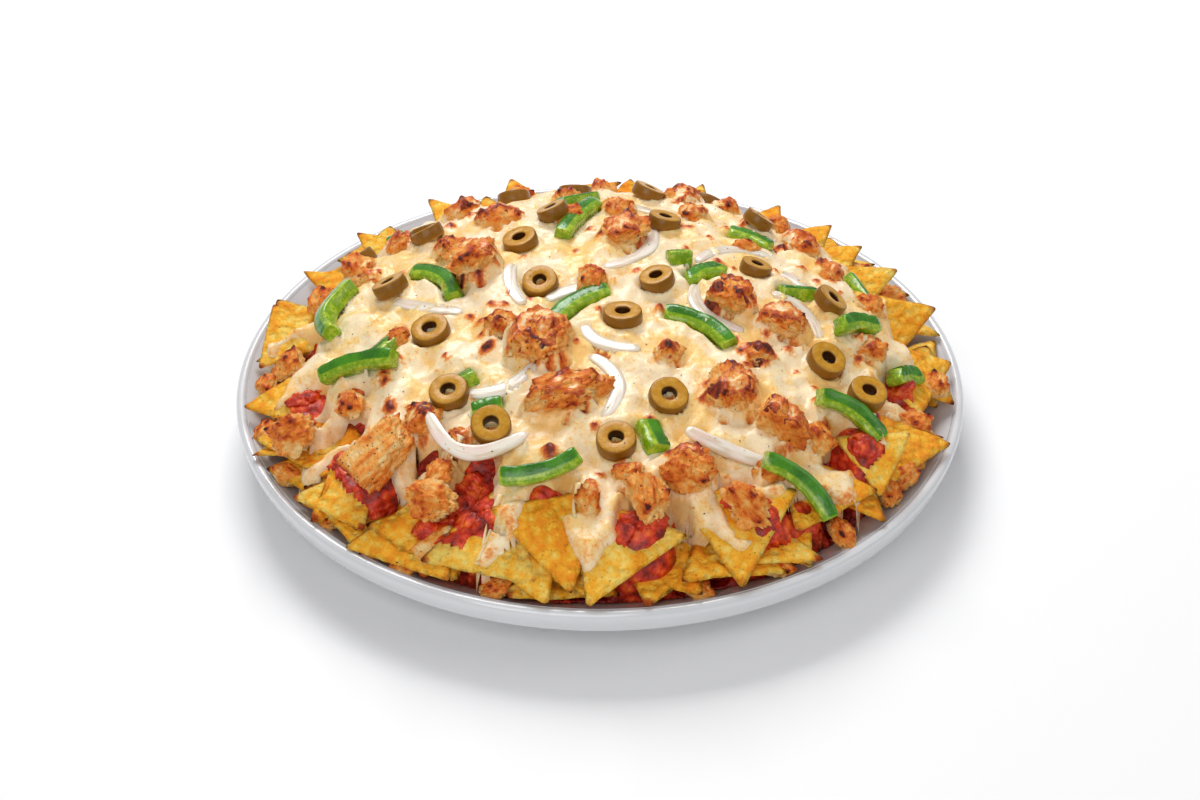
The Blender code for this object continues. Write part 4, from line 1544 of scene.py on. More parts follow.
@dataclass
class Chicken(Toppings):
    """Chunks of browned chicken half sunk in the cheese."""

    piece = "chicken_chunks"
    kind = "chicken"
    slot = "chicken"
    seed = 4
    finish: RoastChicken = RoastChicken()
    sliced: tuple[str, ...] = ("chicken_05",)
    slab: Triple = (0.8, 0.95, 0.9)
    deep_from: float = 82.0
    extra_depth: float = 7.0
    shreds: int = 9
    shred_width: float = 0.02
    extra: tuple[Chunk, ...] = (
        Chunk(-2, -63, 17, 14, 13, 40), Chunk(-52, -85, 16, 13, 12, 100),
        Chunk(-59, -119, 24, 11, 12, 35, Cut.SLICED, 33), Chunk(-60, -98, 17, 13, 11, 60),
        Chunk(-67, -70, 17, 15, 14, 20), Chunk(-39, -28, 15, 14, 13, 75),
        Chunk(-103, 51, 20, 15, 14, 130), Chunk(-127, -8, 19, 14, 13, 80),
        Chunk(27, -44, 14, 12, 11, 10), Chunk(-4, -113, 17, 12, 12, 90),
        Chunk(125, -44, 17, 13, 12, 30), Chunk(118, -71, 16, 12, 12, 60),
        Chunk(86, 58, 21, 16, 14, 140), Chunk(125, 49, 18, 14, 13, 50),
        Chunk(35, 88, 22, 17, 14, 15), Chunk(-98, -52, 16, 13, 12, 110),
        Chunk(-4, 1, 16, 14, 12, 60), Chunk(61, 38, 14, 12, 11, 0),
        Chunk(-79, -22, 14, 13, 11, 30), Chunk(-136, -16, 15, 11, 11, 90, Cut.TORN, 33),
        Chunk(-122, -70, 15, 10, 10, 150, Cut.TORN, 30), Chunk(-13, 55, 17, 14, 12, 20),
        Chunk(-42, 60, 24, 18, 15, 165), Chunk(84, -75, 16, 14, 13, 110),
        Chunk(137, -17, 15, 11, 11, 80, Cut.TORN, 34), Chunk(62, -41, 15, 12, 11, 40),
        Chunk(64, -93, 15, 12, 12, 20), Chunk(11, -104, 14, 12, 11, 0),
        Chunk(96, 36, 18, 14, 13, 70), Chunk(112, 60, 16, 13, 12, 20),
        Chunk(-60, 88, 20, 15, 13, 40), Chunk(-15, 83, 18, 14, 12, 100),
        Chunk(-86, 62, 19, 15, 13, 70), Chunk(8, 66, 18, 15, 12, 150),
        Chunk(55, 92, 17, 14, 12, 60), Chunk(-98, 30, 18, 14, 13, 10),
        Chunk(-62, 34, 20, 16, 14, 120), Chunk(2, 112, 18, 13, 12, 80),
        Chunk(-36, 112, 17, 13, 12, 30), Chunk(78, 84, 16, 13, 12, 95),
        Chunk(112, 20, 17, 13, 12, 120), Chunk(40, 66, 16, 13, 11, 45),
        Chunk(-118, 34, 16, 12, 12, 60), Chunk(108, -22, 15, 12, 11, 15),
        Chunk(-84, -111, 15, 11, 9, 40, Cut.TORN, 27), Chunk(-72, -120, 16, 11, 9, 20, Cut.TORN, 27),
        Chunk(-105, -93, 13, 10, 8, 120, Cut.TORN, 27), Chunk(-38, -134, 14, 10, 8, 10, Cut.TORN, 27),
        Chunk(66, -122, 15, 11, 9, 150, Cut.TORN, 28), Chunk(92, -104, 16, 11, 9, 130, Cut.TORN, 28),
        Chunk(112, -80, 15, 11, 10, 100, Cut.TORN, 29), Chunk(125, -58, 14, 10, 9, 70, Cut.TORN, 29),
        Chunk(36, -134, 14, 10, 8, 160, Cut.TORN, 27), Chunk(-133, -40, 14, 10, 9, 60, Cut.TORN, 28),
    )

    def spikes(self, ball: Array, dice: Dice) -> Array:
        """Shreds that stick out of a chunk.

        Args:
            ball: Points of an even ball.
            dice: The random numbers that place them.

        Returns:
            How far each point belongs to a shred, from 0 to 1.
        """
        found = np.zeros(len(ball))
        for _ in range(self.shreds):
            way = dice.normal(size=3) * (1, 1, 0.5) + (0, 0, 0.8)
            near = ball @ (way / np.linalg.norm(way))
            found = np.maximum(found, dice.uniform(0.4, 1.0) * np.exp((near - 1) / self.shred_width))
        return found

    def shape(
        self, batch: Batch, perch: Perch, sizes: Array, cut: Cut, fineness: int, number: int
    ) -> None:
        """Add one chunk: a blunt crystal of random cuts, torn along its fibres.

        Args:
            batch: The piece to add it to.
            perch: Its centre and axes.
            sizes: Its sizes along those axes.
            cut: How it came apart.
            fineness: How finely the ball it starts from is divided.
            number: Its number, which seeds its cuts.
        """
        grain = self.grain
        dice = np.random.default_rng(SEED * 100 + number)
        ball, faces = unit_ball(fineness)
        sharpness, jitter, tear = cut.value
        facets = np.array([way for way in itertools.product((-1, 0, 1), repeat=3) if any(way)], float)
        facets = facets if cut is Cut.TORN else facets[np.abs(facets).sum(1) == 1]
        facets += jitter * dice.normal(size=facets.shape)
        facets /= np.linalg.norm(facets, axis=1, keepdims=True)
        reach = dice.uniform(0.8, 1.08, len(facets))
        facing = np.maximum(ball @ facets.T, 0) / reach
        radius = (facing**sharpness).sum(1) ** (-1 / sharpness)
        ranked = np.sort(facing, axis=1)
        ridge = smooth_step(ranked[:, -2] / ranked[:, -1], 0.82, 1.0)
        where = ball * radius[:, None] + 13.7 * number
        broad = grain.layered(where, 0.8, 2)
        crags = 1 - 2 * np.abs(grain.at(where + 31, 0.42))
        threads = grain.layered(where * (0.9, 3.6, 3.6) + 57, 0.6, 2)
        pits = grain.layered(where + 83, 0.22, 2)
        shards = 1 - 2 * np.abs(grain.at(where + 51, 0.25))
        spikes = self.spikes(ball, dice)
        relief = 0.8 * broad + 0.5 * crags + 0.7 * threads + 0.35 * (pits + shards) + 0.9 * spikes
        swell = 1 + tear * relief
        points = ball * (radius * swell)[:, None]
        middle, half = (points.min(0) + points.max(0)) / 2, np.ptp(points, axis=0) / 2
        points = (points - middle) / half
        sunny = smooth_step(points[:, 2], -0.3, 0.9)
        crust = 0.26 + 0.04 * sunny + (0.2 * ridge + 0.16 * smooth_step(crags, 0.3, 1.0)) * sunny
        crust += (0.6 * spikes + 0.16 * smooth_step(shards, 0.5, 1.0)) * sunny + 0.24 * broad - 0.1 * threads
        points = points * sizes / 2
        grained = points + number * 40
        if cut is Cut.SLICED:
            edges = smooth_step(np.abs(points / sizes * 2)[:, :2].max(1), 0.75, 1.0)
            crust = 0.34 + 0.42 * edges + 0.24 * broad + 0.3 * threads
            grained = grained[:, [1, 0, 2]]
        batch.add(perch.world(points), faces, crust=crust, grain=grained)

    def of_node(self, name: str) -> tuple[Perch, Array, Cut]:
        """A node's perch and sizes, carried deeper near the heap's edge, and its cut.

        Args:
            name: The node.

        Returns:
            The perch, the sizes along its axes, and the cut.
        """
        perch, sizes = perch_of(node_points(name))
        if name in self.sliced:
            return perch, sizes * self.slab, Cut.SLICED
        if np.hypot(*perch.centre[:2]) > self.deep_from:
            perch = Perch(perch.centre - perch.axes[2] * self.extra_depth / 2, perch.axes)
            sizes = sizes + (0, 0, self.extra_depth)
        return perch, sizes, Cut.TORN

    def build(self) -> list[Batch]:
        """Make all chunks, the larger ones standing for their nodes.

        Returns:
            The meshes of the larger and the smaller chunks.
        """
        bits = Batch("chicken_bits")
        names = node_names(self.kind)
        for number, name in enumerate(names):
            self.shape(self.batch, *self.of_node(name), 5, number)
        for number, chunk in enumerate(self.extra, len(names)):
            level, lift = chunk.z, 0.0
            if level is None:
                level = float(self.ground.pick(self.base, chunk.x, chunk.y))
                lift = 0.12 * chunk.height
            up = self.ground.normal(self.base, chunk.x, chunk.y) + (0, 0, 1)
            perch = Perch(np.array([chunk.x, chunk.y, level + lift]), axes_about(up, chunk.turn))
            sizes = np.array([chunk.length, chunk.width, chunk.height])
            self.shape(bits, perch, sizes, chunk.cut, 4, number)
        material = self.finish.make()
        self.batch.build(material, names, self.slot)
        bits.build(material, [], self.slot)
        return [self.batch, bits]


# --- olives


@dataclass(frozen=True)
class Slice:
    """A slice of olive: its place, the tip and turn of its axis, and its size."""

    x: float
    y: float
    tip: float
    turn: float
    size: float
    lift: float = 1.6


@dataclass
class Olives(Toppings):
    """Slices across pitted green olives."""

    piece = "olive_slices"
    kind = "olive"
    slot = "olive"
    seed = 5
    spacing = 7.7
    radius: float = 7.7
    hole: float = 2.9
    thickness: float = 6.2
    segments: int = 40
    shrink: float = 0.92
    finish: OliveFlesh = OliveFlesh()
    extra: tuple[Slice, ...] = (
        Slice(-24, 0, 20, 250, 0.95), Slice(-38, 99, 24, 90, 0.95), Slice(-11, 97, 20, 80, 0.95),
        Slice(-74, 58, 30, 100, 0.95, 3.2), Slice(-104, 66, 18, 140, 0.95), Slice(48, 108, 22, 60, 0.9),
    )

    def places(self) -> list[tuple[Perch, float]]:
        """Find every slice's place.

        Returns:
            Each slice's perch and size.
        """
        found = []
        for name in node_names(self.kind):
            points = node_points(name)
            up = flattest_axis(points)
            centre = (points.min(0) + points.max(0)) / 2
            reach = np.linalg.norm(np.cross(points - centre, up), axis=1).max()
            found.append((Perch(centre, axes_about(up, 0)), self.shrink * float(reach) / self.radius))
        for piece in self.extra:
            up = self.ground.normal(self.base, piece.x, piece.y)
            turn, tip = math.radians(piece.turn), math.radians(piece.tip)
            up = up + math.tan(tip) * np.array([math.cos(turn), math.sin(turn), 0])
            height = float(self.ground.pick(self.base, piece.x, piece.y)) + piece.lift
            centre = np.array([piece.x, piece.y, height])
            found.append((Perch(centre, axes_about(up, 0)), piece.size))
        return found

    def profile(self) -> list[Pair]:
        """A slice's wall cut through: below, the skin, above and the hole.

        Returns:
            Its (radius, height) points.
        """
        half = self.thickness / 2
        outer, inner, soft = self.radius, self.hole, 0.6
        line = [(inner + 0.1, -half + 0.3), (inner + 0.5, -half)]
        line += [(outer - soft - 0.3, -half), (outer - 0.3, -half + soft), (outer, 0.0)]
        line += [(outer - 0.2, half - soft), (outer - 0.4, half - 0.2), (outer - 0.8, half - 0.03)]
        line += [((outer + inner) / 2, half - 0.1), (inner + 0.45, half - 0.05)]
        return line + [(inner + 0.12, half - 0.25), (inner, half - 0.8), (inner - 0.1, 0.0)]

    def add(self, place: tuple[Perch, float], offset: float) -> None:
        """Add one slice: a thick ring with rounded edges and a bulging skin.

        Args:
            place: Its perch and size.
            offset: Where in the noise it lies.
        """
        perch, size = place
        profile = np.array(self.profile()) * size
        turns = np.linspace(0, math.tau, self.segments, endpoint=False)
        ring = np.stack([np.cos(turns), np.sin(turns), 0 * turns], axis=1)
        wobble = 1 + 0.035 * self.grain.at(ring + offset, 0.8)
        points = [
            np.column_stack([ring[:, :2] * (radius * wobble)[:, None], np.full(self.segments, height)])
            for radius, height in profile
        ]
        faces = band_faces(len(profile), self.segments, len(profile))
        skin = np.repeat([0, 0, 0.4, 1, 1, 1, 0.75, 0.2, 0, 0, 0, 0, 0], self.segments)
        # core marks the hole's wall, which the finish paints dark as shade
        core = np.repeat([1, 0.6, 0, 0, 0, 0, 0, 0, 0, 0.05, 0.45, 1, 1], self.segments)
        self.batch.add(perch.world(np.concatenate(points)), faces, skin=skin, core=core)


# --- strips


@dataclass(frozen=True)
class Run:
    """The middle line of a strip, its upward direction, width and thickness."""

    line: Array
    up: Array
    width: float
    height: float

    @staticmethod
    def of_node(name: str, width: float, height: float, stations: int) -> Run:
        """Read a strip's run from its node, by cutting it across at even steps.

        Args:
            name: The node.
            width: The strip's width.
            height: Its thickness.
            stations: How many points the line gets.

        Returns:
            The strip's run.
        """
        mesh = frame["nodes"][name].data
        points = np.array([vertex.co[:] for vertex in mesh.vertices]) / MM
        edges = np.array([edge.vertices[:] for edge in mesh.edges])
        centre = points.mean(0)
        _, _, rows = np.linalg.svd(points - centre, full_matrices=False)
        chord = rows[0]
        spread = (points - centre) @ chord
        ends = spread.min(), spread.max()
        cuts = np.linspace(ends[0], ends[1], 13)[1:-1]
        middles, ups = [], []
        for cut in cuts:
            near, far = spread[edges[:, 0]], spread[edges[:, 1]]
            crossing = (near - cut) * (far - cut) < 0
            share = ((cut - near[crossing]) / (far[crossing] - near[crossing]))[:, None]
            start, end = points[edges[crossing, 0]], points[edges[crossing, 1]]
            section = start + (end - start) * share
            middles.append((section.min(0) + section.max(0)) / 2)
            _, _, across = np.linalg.svd(section - section.mean(0), full_matrices=False)
            ups.append(across[1] * np.sign(across[1, 2]))
        fits = [np.polyfit(cuts, np.array(middles)[:, k], 4) for k in range(3)]
        trim = 0.03 * (ends[1] - ends[0])
        places = np.linspace(ends[0] + trim, ends[1] - trim, stations)
        line = np.stack([np.polyval(fit, places) for fit in fits], axis=1)
        up = np.mean(ups, axis=0)
        return Run(line, up / np.linalg.norm(up), width, height)

    @staticmethod
    def through(
        ground: Ground,
        base: Array,
        spots: Sequence[Pair],
        width: float,
        height: float,
        lift: float,
        lean: float,
        stations: int,
    ) -> Run:
        """A run laid on heights, on a smooth curve through spots.

        Args:
            ground: The grid.
            base: The heights on it.
            spots: Places that the line goes through.
            width: The strip's width.
            height: Its thickness.
            lift: How far the line lies over the heights.
            lean: How far it leans sideways.
            stations: How many points the line gets.

        Returns:
            The strip's run.
        """
        given = np.array(spots, float)
        order = np.linspace(0, 1, len(given))
        share = np.linspace(0, 1, stations)
        degree = min(3, len(given) - 1)
        x, y = (np.polyval(np.polyfit(order, given[:, k], degree), share) for k in range(2))
        z = ground.pick(base, x, y) + lift
        z = np.polyval(np.polyfit(share, z, 3), share)
        middle = given.mean(0)
        up = ground.normal(base, *middle)
        side = np.array([-(y[-1] - y[0]), x[-1] - x[0], 0])
        up = up + math.tan(math.radians(lean)) * side / np.linalg.norm(side)
        return Run(np.stack([x, y, z], axis=1), up / np.linalg.norm(up), width, height)

    def frames(self) -> tuple[Array, Array]:
        """Two directions square to the line.

        Returns:
            Its side and up directions, at each point.
        """
        tangent = np.gradient(self.line, axis=0)
        tangent /= np.linalg.norm(tangent, axis=1, keepdims=True)
        side = np.cross(self.up, tangent)
        side /= np.linalg.norm(side, axis=1, keepdims=True)
        return side, np.cross(tangent, side)


@dataclass
class Peppers(Toppings):
    """Thick cut strips and dice of green pepper."""

    piece = "pepper_strips"
    kind = "pepper"
    slot = "green_pepper"
    seed = 6
    spacing = 5.3
    crease = 70
    width: float = 7.2
    thickness: float = 7.4
    wall: float = 4.2
    turned_from: float = -0.1
    stations: int = 22
    finish: PepperFlesh = PepperFlesh()
    extra: tuple[tuple[Pair, Pair, float, float], ...] = (
        ((-88, -31), (-81, -23), 8, 15), ((-92, 73), (-85, 76), 6, 10), ((-56, -57), (-48, -53), 7, 20),
        ((28, 20), (37, 23), 7, 20), ((73, 6), (88, 8), 7, 25), ((106, 42), (113, 20), 8, 30),
        ((17, -80), (22, -94), 9, 15), ((-18, 70), (-2, 84), 7, 20),
    )

    def places(self) -> list[Run]:
        """Find every strip's place.

        Returns:
            Each strip's run.
        """
        found = []
        for name in node_names(self.kind):
            run = Run.of_node(name, self.width, self.thickness, self.stations)
            sunk = run.line - run.up * (self.thickness - self.wall) / 2
            found.append(Run(sunk, run.up, run.width, run.height))
        for start, end, width, lean in self.extra:
            laid = (width, self.thickness, 1.0, lean, self.stations)
            found.append(Run.through(self.ground, self.base, (start, end), *laid))
        return found

    @staticmethod
    def section(wide: float, tall: float) -> Array:
        """Points round a strip cut across.

        Args:
            wide: Half the strip's width.
            tall: Half its thickness.

        Returns:
            The points, anticlockwise from the lower left.
        """
        outline = [(-wide, -tall * 0.6), (-wide * 0.9, -tall), (0, -tall * 0.8), (wide * 0.9, -tall)]
        outline += [(wide, -tall * 0.6), (wide * 1.03, 0), (wide, tall * 0.72), (wide * 0.9, tall * 0.9)]
        outline += [(wide * 0.5, tall * 0.98), (0, tall * 1.02), (-wide * 0.5, tall * 0.98)]
        outline += [(-wide * 0.9, tall * 0.9), (-wide, tall * 0.72), (-wide * 1.03, 0)]
        return np.array(outline)

    def add(self, place: Run, offset: float) -> None:
        """Add one strip: skin on one side, flesh at its other sides and ends.

        Args:
            place: Its run.
            offset: Where in the noise it lies.
        """
        wide, tall = place.width / 2, place.height / 2
        section = self.section(wide, tall)
        covered = np.array([0, 0, 0, 0, 0, 0, 0.1, 1, 1, 1, 1, 1, 0.1, 0])
        side, up = place.frames()
        if self.grain.at(np.array([[offset, 0, 0]]), 3.0)[0] > self.turned_from:
            back = section[:, 0] * np.sign(side[:, 1].mean())
            covered = smooth_step(back / wide + 0.5 * section[:, 1] / tall, 0.3, 0.6)
        rings = []
        for row, centre in enumerate(place.line):
            near_end = min(row, len(place.line) - 1 - row)
            shrink = (0.86, 0.97)[near_end] if near_end < 2 else 1.0
            twist = 1 + 0.1 * self.grain.at(centre[None] + offset, 6.0)[0]
            scaled = section * shrink * (twist, 1.0)
            spots = np.column_stack([section, np.full(len(section), row * 1.1 + offset)])
            rough = 0.35 * self.grain.at(spots, 3.0)
            reach = np.linalg.norm(scaled, axis=1, keepdims=True)
            scaled = scaled * (1 + rough[:, None] / reach)
            rings.append(centre + scaled[:, :1] * side[row] + scaled[:, 1:] * up[row])
        skin = [covered * (0.25 if row in (0, len(rings) - 1) else 1.0) for row in range(len(rings))]
        faces = tube_faces(len(rings), len(section))
        self.batch.add(np.concatenate(rings), faces, skin=np.concatenate(skin))


def band_faces(rings: int, count: int, rows: int) -> list[list[int]]:
    """Faces between rings of points that turn the same way.

    Args:
        rings: How many rings there are.
        count: How many points a ring has.
        rows: How many bands join them; as many as the rings, when the last joins the first.

    Returns:
        The faces, as numbers of the points.
    """
    faces = []
    for row, step in itertools.product(range(rows), range(count)):
        after, low, high = (step + 1) % count, row * count, (row + 1) % rings * count
        faces.append([low + step, low + after, high + after, high + step])
    return faces


def tube_faces(rings: int, count: int) -> list[list[int]]:
    """Faces of a tube with flat ends, whose rings turn the same way."""
    ends = [list(range(count))[::-1], [(rings - 1) * count + step for step in range(count)]]
    return ends + band_faces(rings, count, rings - 1)


@dataclass
class Onions(Toppings):
    """Arcs of softened white onion."""

    piece = "onion_arcs"
    kind = "onion"
    slot = "onion"
    seed = 7
    spacing = 6.1
    width: float = 6.3
    thickness: float = 2.5
    squareness: float = 0.48
    stations: int = 34
    sides: int = 14
    finish: OnionFlesh = OnionFlesh()
    extra: tuple[tuple[Pair, ...], ...] = (
        ((-51, -61), (-36, -62), (-25, -52)),
        ((-35, 12), (-36, -1), (-30, -13)),
        ((-6, -29), (0, -39), (16, -42)),
        ((74, 22), (80, 20), (84, 12)),
    )

    def places(self) -> list[Run]:
        """Find every arc's place.

        Returns:
            Each arc's run.
        """
        sizes = (self.width, self.thickness)
        found = [Run.of_node(name, *sizes, self.stations) for name in node_names(self.kind)]
        for spots in self.extra:
            found.append(Run.through(self.ground, self.base, spots, *sizes, 0.9, 0, self.stations))
        return found

    def add(self, place: Run, offset: float) -> None:
        """Add one arc: a soft band that thins towards its ends.

        Args:
            place: Its run.
            offset: Where in the noise it lies.
        """
        turns = np.linspace(0, math.tau, self.sides, endpoint=False)
        round_side = np.stack([np.cos(turns), np.sin(turns)], axis=1)
        half = (place.width / 2, place.height / 2)
        section = np.sign(round_side) * np.abs(round_side) ** self.squareness * half
        side, up = place.frames()
        rings, grains = [], []
        gone = np.concatenate([[0], np.cumsum(np.linalg.norm(np.diff(place.line, axis=0), axis=1))])
        for row, centre in enumerate(place.line):
            share = abs(2 * row / (len(place.line) - 1) - 1)
            taper = math.sqrt(max(0.03, 1 - share**14))
            narrow = 1 - 0.28 * share**2
            wave = 1 + 0.12 * self.grain.at(centre[None] + offset, 9.0)[0]
            scaled = section * (taper * narrow * wave, taper)
            rings.append(centre + scaled[:, :1] * side[row] + scaled[:, 1:] * up[row])
            grains.append(np.column_stack([np.full(self.sides, gone[row] + offset * 9), section]))
        faces = tube_faces(len(rings), self.sides)
        self.batch.add(np.concatenate(rings), faces, grain=np.concatenate(grains))


# --- cheese


@dataclass
class Layer:
    """The cheese while it builds up: its top, reach inside its edge, roundness and marks, whose browning
    also holds painted shade.
    """

    top: Array
    inside: Array
    rounding: Array
    heat_and_shade: Array
    stain: Array


@dataclass(frozen=True)
class Meeting:
    """How the cheese meets a kind of topping: heights from their tops, and its film over them."""

    rim: float
    depth: float
    film_share: float
    film_less: float
    film_most: float


@dataclass
class Cheese:
    """Melted cheese over the heap: one sheet with holes, drips, strings and blisters."""

    radius: float = 119.0
    depth: float = 5.0
    span: float = 137.0
    step: float = 1.05
    drip: float = 15.0
    drip_spread: float = 4.4
    drips: tuple[float, ...] = (76, 97, 133, 179, 197, 214, 252, 269, 293, 314, 325, 342)
    blisters: int = 105
    blister_sizes: Pair = (1.4, 2.7)
    spot_sizes: Pair = (2.0, 3.2)
    cave_sizes: Pair = (1.5, 2.8)
    cave_depth: float = 4.6
    baked_reach: float = 112.0
    most_heat: float = 0.88
    strings: int = 6
    torn_strings: int = 4
    strings_before: float = -95.0
    ceiling: float = 84.6
    finish: MeltedCheese = MeltedCheese()
    sunk: Mapping[str, float] = field(
        default_factory=lambda: {"olive": 1.6, "pepper": 1.7, "onion": 1.5, "chicken": 5.5}
    )
    meetings: Mapping[str, Meeting] = field(
        default_factory=lambda: {
            "olive": Meeting(-4.6, 6.6, 0, 1, 0),
            "pepper": Meeting(-4.8, 7.8, 1.9, 0.95, 0.5),
            "onion": Meeting(-1.0, 3.4, 1.9, 0.7, 0.4),
        }
    )
    torn: tuple[tuple[float, float, float, float], ...] = (
        (-101, -80, 15, 7), (-94, -94, 12, 8), (-65, -84, 7, 4), (-50, -105, 16, 10), (-44, -93, 6, 5),
        (-46, -118, 12, 8), (-59, -122, 12, 8), (-121, -36, 12, 7), (-121, -50, 12, 9), (15, -121, 9, 9),
        (52, -110, 13, 8), (64, -118, 12, 9), (-21, -122, 13, 9), (-13, -113, 8, 6), (124, -29, 10, 8),
        (99, -76, 13, 8), (108, -80, 9, 6), (88, -78, 7, 5), (-98, -60, 9, 5), (-124, 2, 10, 6),
        (112, -50, 8, 5), (28, -116, 7, 4), (-108, -66, 10, 5),
    )
    spots: tuple[Pair, ...] = (
        (-84, -48), (-82, -60), (-18, -99), (0, -102), (67, -39), (60, -43), (59, -36), (89, -30), (93, -50),
        (95, -55), (41, -60), (43, -67), (53, -32), (55, -39), (57, -48), (64, -44), (81, -2), (94, -36),
        (-70, 20), (-63, 13), (-28, -9), (-38, -15), (-10, 27), (37, -93), (8, -97), (19, -77),
    )

    def __post_init__(self) -> None:
        """Lay out the grid, and work out the cheese's level among the toppings."""
        self.ground = Ground(self.span, self.step)
        self.grain = Grain(SEED + 8)
        self.dice = np.random.default_rng(SEED + 8)
        self.base = self.level()

    def level(self) -> Array:
        """Work out the cheese's level among the toppings, from how the part's nodes lie.

        Returns:
            Heights on the grid.
        """
        plain = DOME.height(self.ground.r) - self.depth
        pull, weight = np.zeros_like(plain), np.full_like(plain, 0.3)
        for kind, depth in self.sunk.items():
            for name in node_names(kind):
                low, high = node_box(name)
                x, y = (low[:2] + high[:2]) / 2
                bell = np.exp(-((self.ground.x - x) ** 2 + (self.ground.y - y) ** 2) / 13.0**2)
                wanted = low[2] + depth - float(self.ground.pick(plain, x, y))
                pull += bell * wanted
                weight += bell
        return plain + pull / weight

    def edge(self) -> Array:
        """Draw the sheet's border, with its drips and holes.

        Returns:
            How far inside it each place lies, negative outside and in the holes.
        """
        ground, grain = self.ground, self.grain
        shifts = np.stack([grain.at(ground.flat + shift, 9.0) for shift in (5, 45, 85)], axis=-1)
        warp = ground.flat + 2.6 * shifts
        angle = np.radians(ground.bearing)
        share = 1 - 0.04 * np.sin(angle) + 0.03 * np.cos(2 * angle) + 0.02 * np.sin(7 * angle + 2)
        reach = self.radius * share + 3.5 * grain.at(ground.flat, 16.0)
        for bearing in self.drips:
            reach += self.drip * np.exp(-((ground.apart(bearing) / self.drip_spread) ** 2))
        inside = reach - np.hypot(warp[..., 0], warp[..., 1])
        for x, y, radial, across in self.torn:
            turn = math.atan2(y, x)
            dx, dy = warp[..., 0] - x, warp[..., 1] - y
            along = dx * math.cos(turn) + dy * math.sin(turn)
            aside = -dx * math.sin(turn) + dy * math.cos(turn)
            hole = (np.hypot(along / radial, aside / across) - 1) * min(radial, across)
            inside = np.minimum(inside, hole)
        ragged = 2.2 * grain.layered(ground.flat + 17, 7.0, 2) * smooth_step(ground.r, 92, 112)
        return inside + ragged

    def pour(self, under: Array) -> Layer:
        """Spread the cheese over what lies below it.

        Args:
            under: Heights of what it lies on.

        Returns:
            The plain layer.
        """
        ground, grain = self.ground, self.grain
        drape = ground.blur(ground.widen(under, 1.6), 2.2)
        support = ground.blur(under, 0.8) - drape + 5 + 30 * smooth_step(ground.r, 118, 104)
        inside = np.minimum(self.edge(), 0.9 * support)
        lowest = 1.7 + 0.25 * np.clip(inside, 0, 4)
        thick = np.clip(self.base - drape, lowest, lowest + 1.5 * np.clip(inside, 0, 14))
        rounding = np.sqrt(np.clip(1 - (1 - np.clip(inside, 0, 3.6) / 3.6) ** 2, 0, 1))
        ending = smooth_step(-inside, -0.4, 2.0)
        floor = ground.blur(-ground.widen(-under, 1.6), 1.2) - 1.6
        top = (drape + thick * rounding) * (1 - ending) + floor * ending
        folds = 1 - 2 * np.abs(grain.at(ground.flat + 7 + 3 * grain.at(ground.flat, 9.0)[..., None], 11.0))
        lumps = 4.6 * grain.layered(ground.flat + 3, 17.0, 2) + 1.3 * folds
        lumps += 0.7 * grain.layered(ground.flat + 63, 5.0, 2)
        top = top + lumps * smooth_step(inside, 0, 6)
        torn = smooth_step(ground.blur(smooth_step(-inside, -1.5, 1.0), 2.5), 0.03, 0.4)
        return Layer(top, inside, rounding, np.zeros_like(top), 0.4 * torn)

    def coat(self, layer: Layer, chunks: Sequence[Batch]) -> None:
        """Carry the cheese up over the chunks, thin and browned at their tips.

        Args:
            layer: The layer to change.
            chunks: The chunks of chicken.
        """
        ground, grain, base = self.ground, self.grain, self.base
        height = np.maximum.reduce([ground.drop(batch) for batch in chunks])
        there = height > FAR_BELOW
        filled = ground.blur(np.where(there, height, base - 2), 0.8)
        slope_x, slope_y = np.gradient(filled, ground.step)
        steep = np.hypot(slope_x, slope_y)
        film = 0.35 + 1.9 * grain.layered(ground.flat + 23, 8.0, 3) + 0.4 * grain.at(ground.flat + 71, 3.0)
        film -= 1.0 * smooth_step(steep, 0.9, 2.2) + 1.3 * smooth_step(slope_y, 0.35, 1.5)
        film -= 1.5 * smooth_step(ground.r, 106, 122) + 3 * smooth_step(1.5 - layer.inside, 0, 3)
        cover = np.where(there & (film > 0), height + np.clip(film, 0.1, 1.3), FAR_BELOW)
        cover = ground.skirt(cover, 1.5, 4.0)
        before = layer.top
        layer.top = np.where(cover > before - 4, smooth_most(before, cover, 1.8), before)
        foot = ground.widen(np.where(there, np.minimum(height, base + 4), FAR_BELOW), 1.4)
        close = ground.blur(there.astype(float), 1.5)
        climb = np.where(foot > FAR_BELOW, np.clip(foot - 2.4 - layer.top, 0, 2.5), 0)
        layer.top = layer.top + climb * smooth_step(close, 0.05, 0.6) * (layer.inside > 0)
        lift = layer.top - base
        bulge = layer.top - ground.blur(layer.top, 2.0)
        peak = smooth_step(bulge, 0.15, 1.5) * smooth_step(lift, 1.5, 7.0)
        thin = smooth_step(film, 0.9, 0.0) * smooth_step(lift, 0.5, 4.0) * smooth_step(close, 0.2, 0.8)
        spots = grain.layered(ground.flat + 203, 9.0, 2)
        tips = smooth_step(bulge, 0.3, 1.1) * smooth_step(spots, -0.05, 0.4)
        raised = smooth_step(lift, 2, 8) * smooth_step(close, 0.1, 0.5)
        layer.heat_and_shade += 0.36 * peak + 0.2 * thin + 0.16 * raised
        layer.heat_and_shade += 0.34 * tips
        layer.stain += 0.35 * smooth_step(close, 0.08, 0.5)

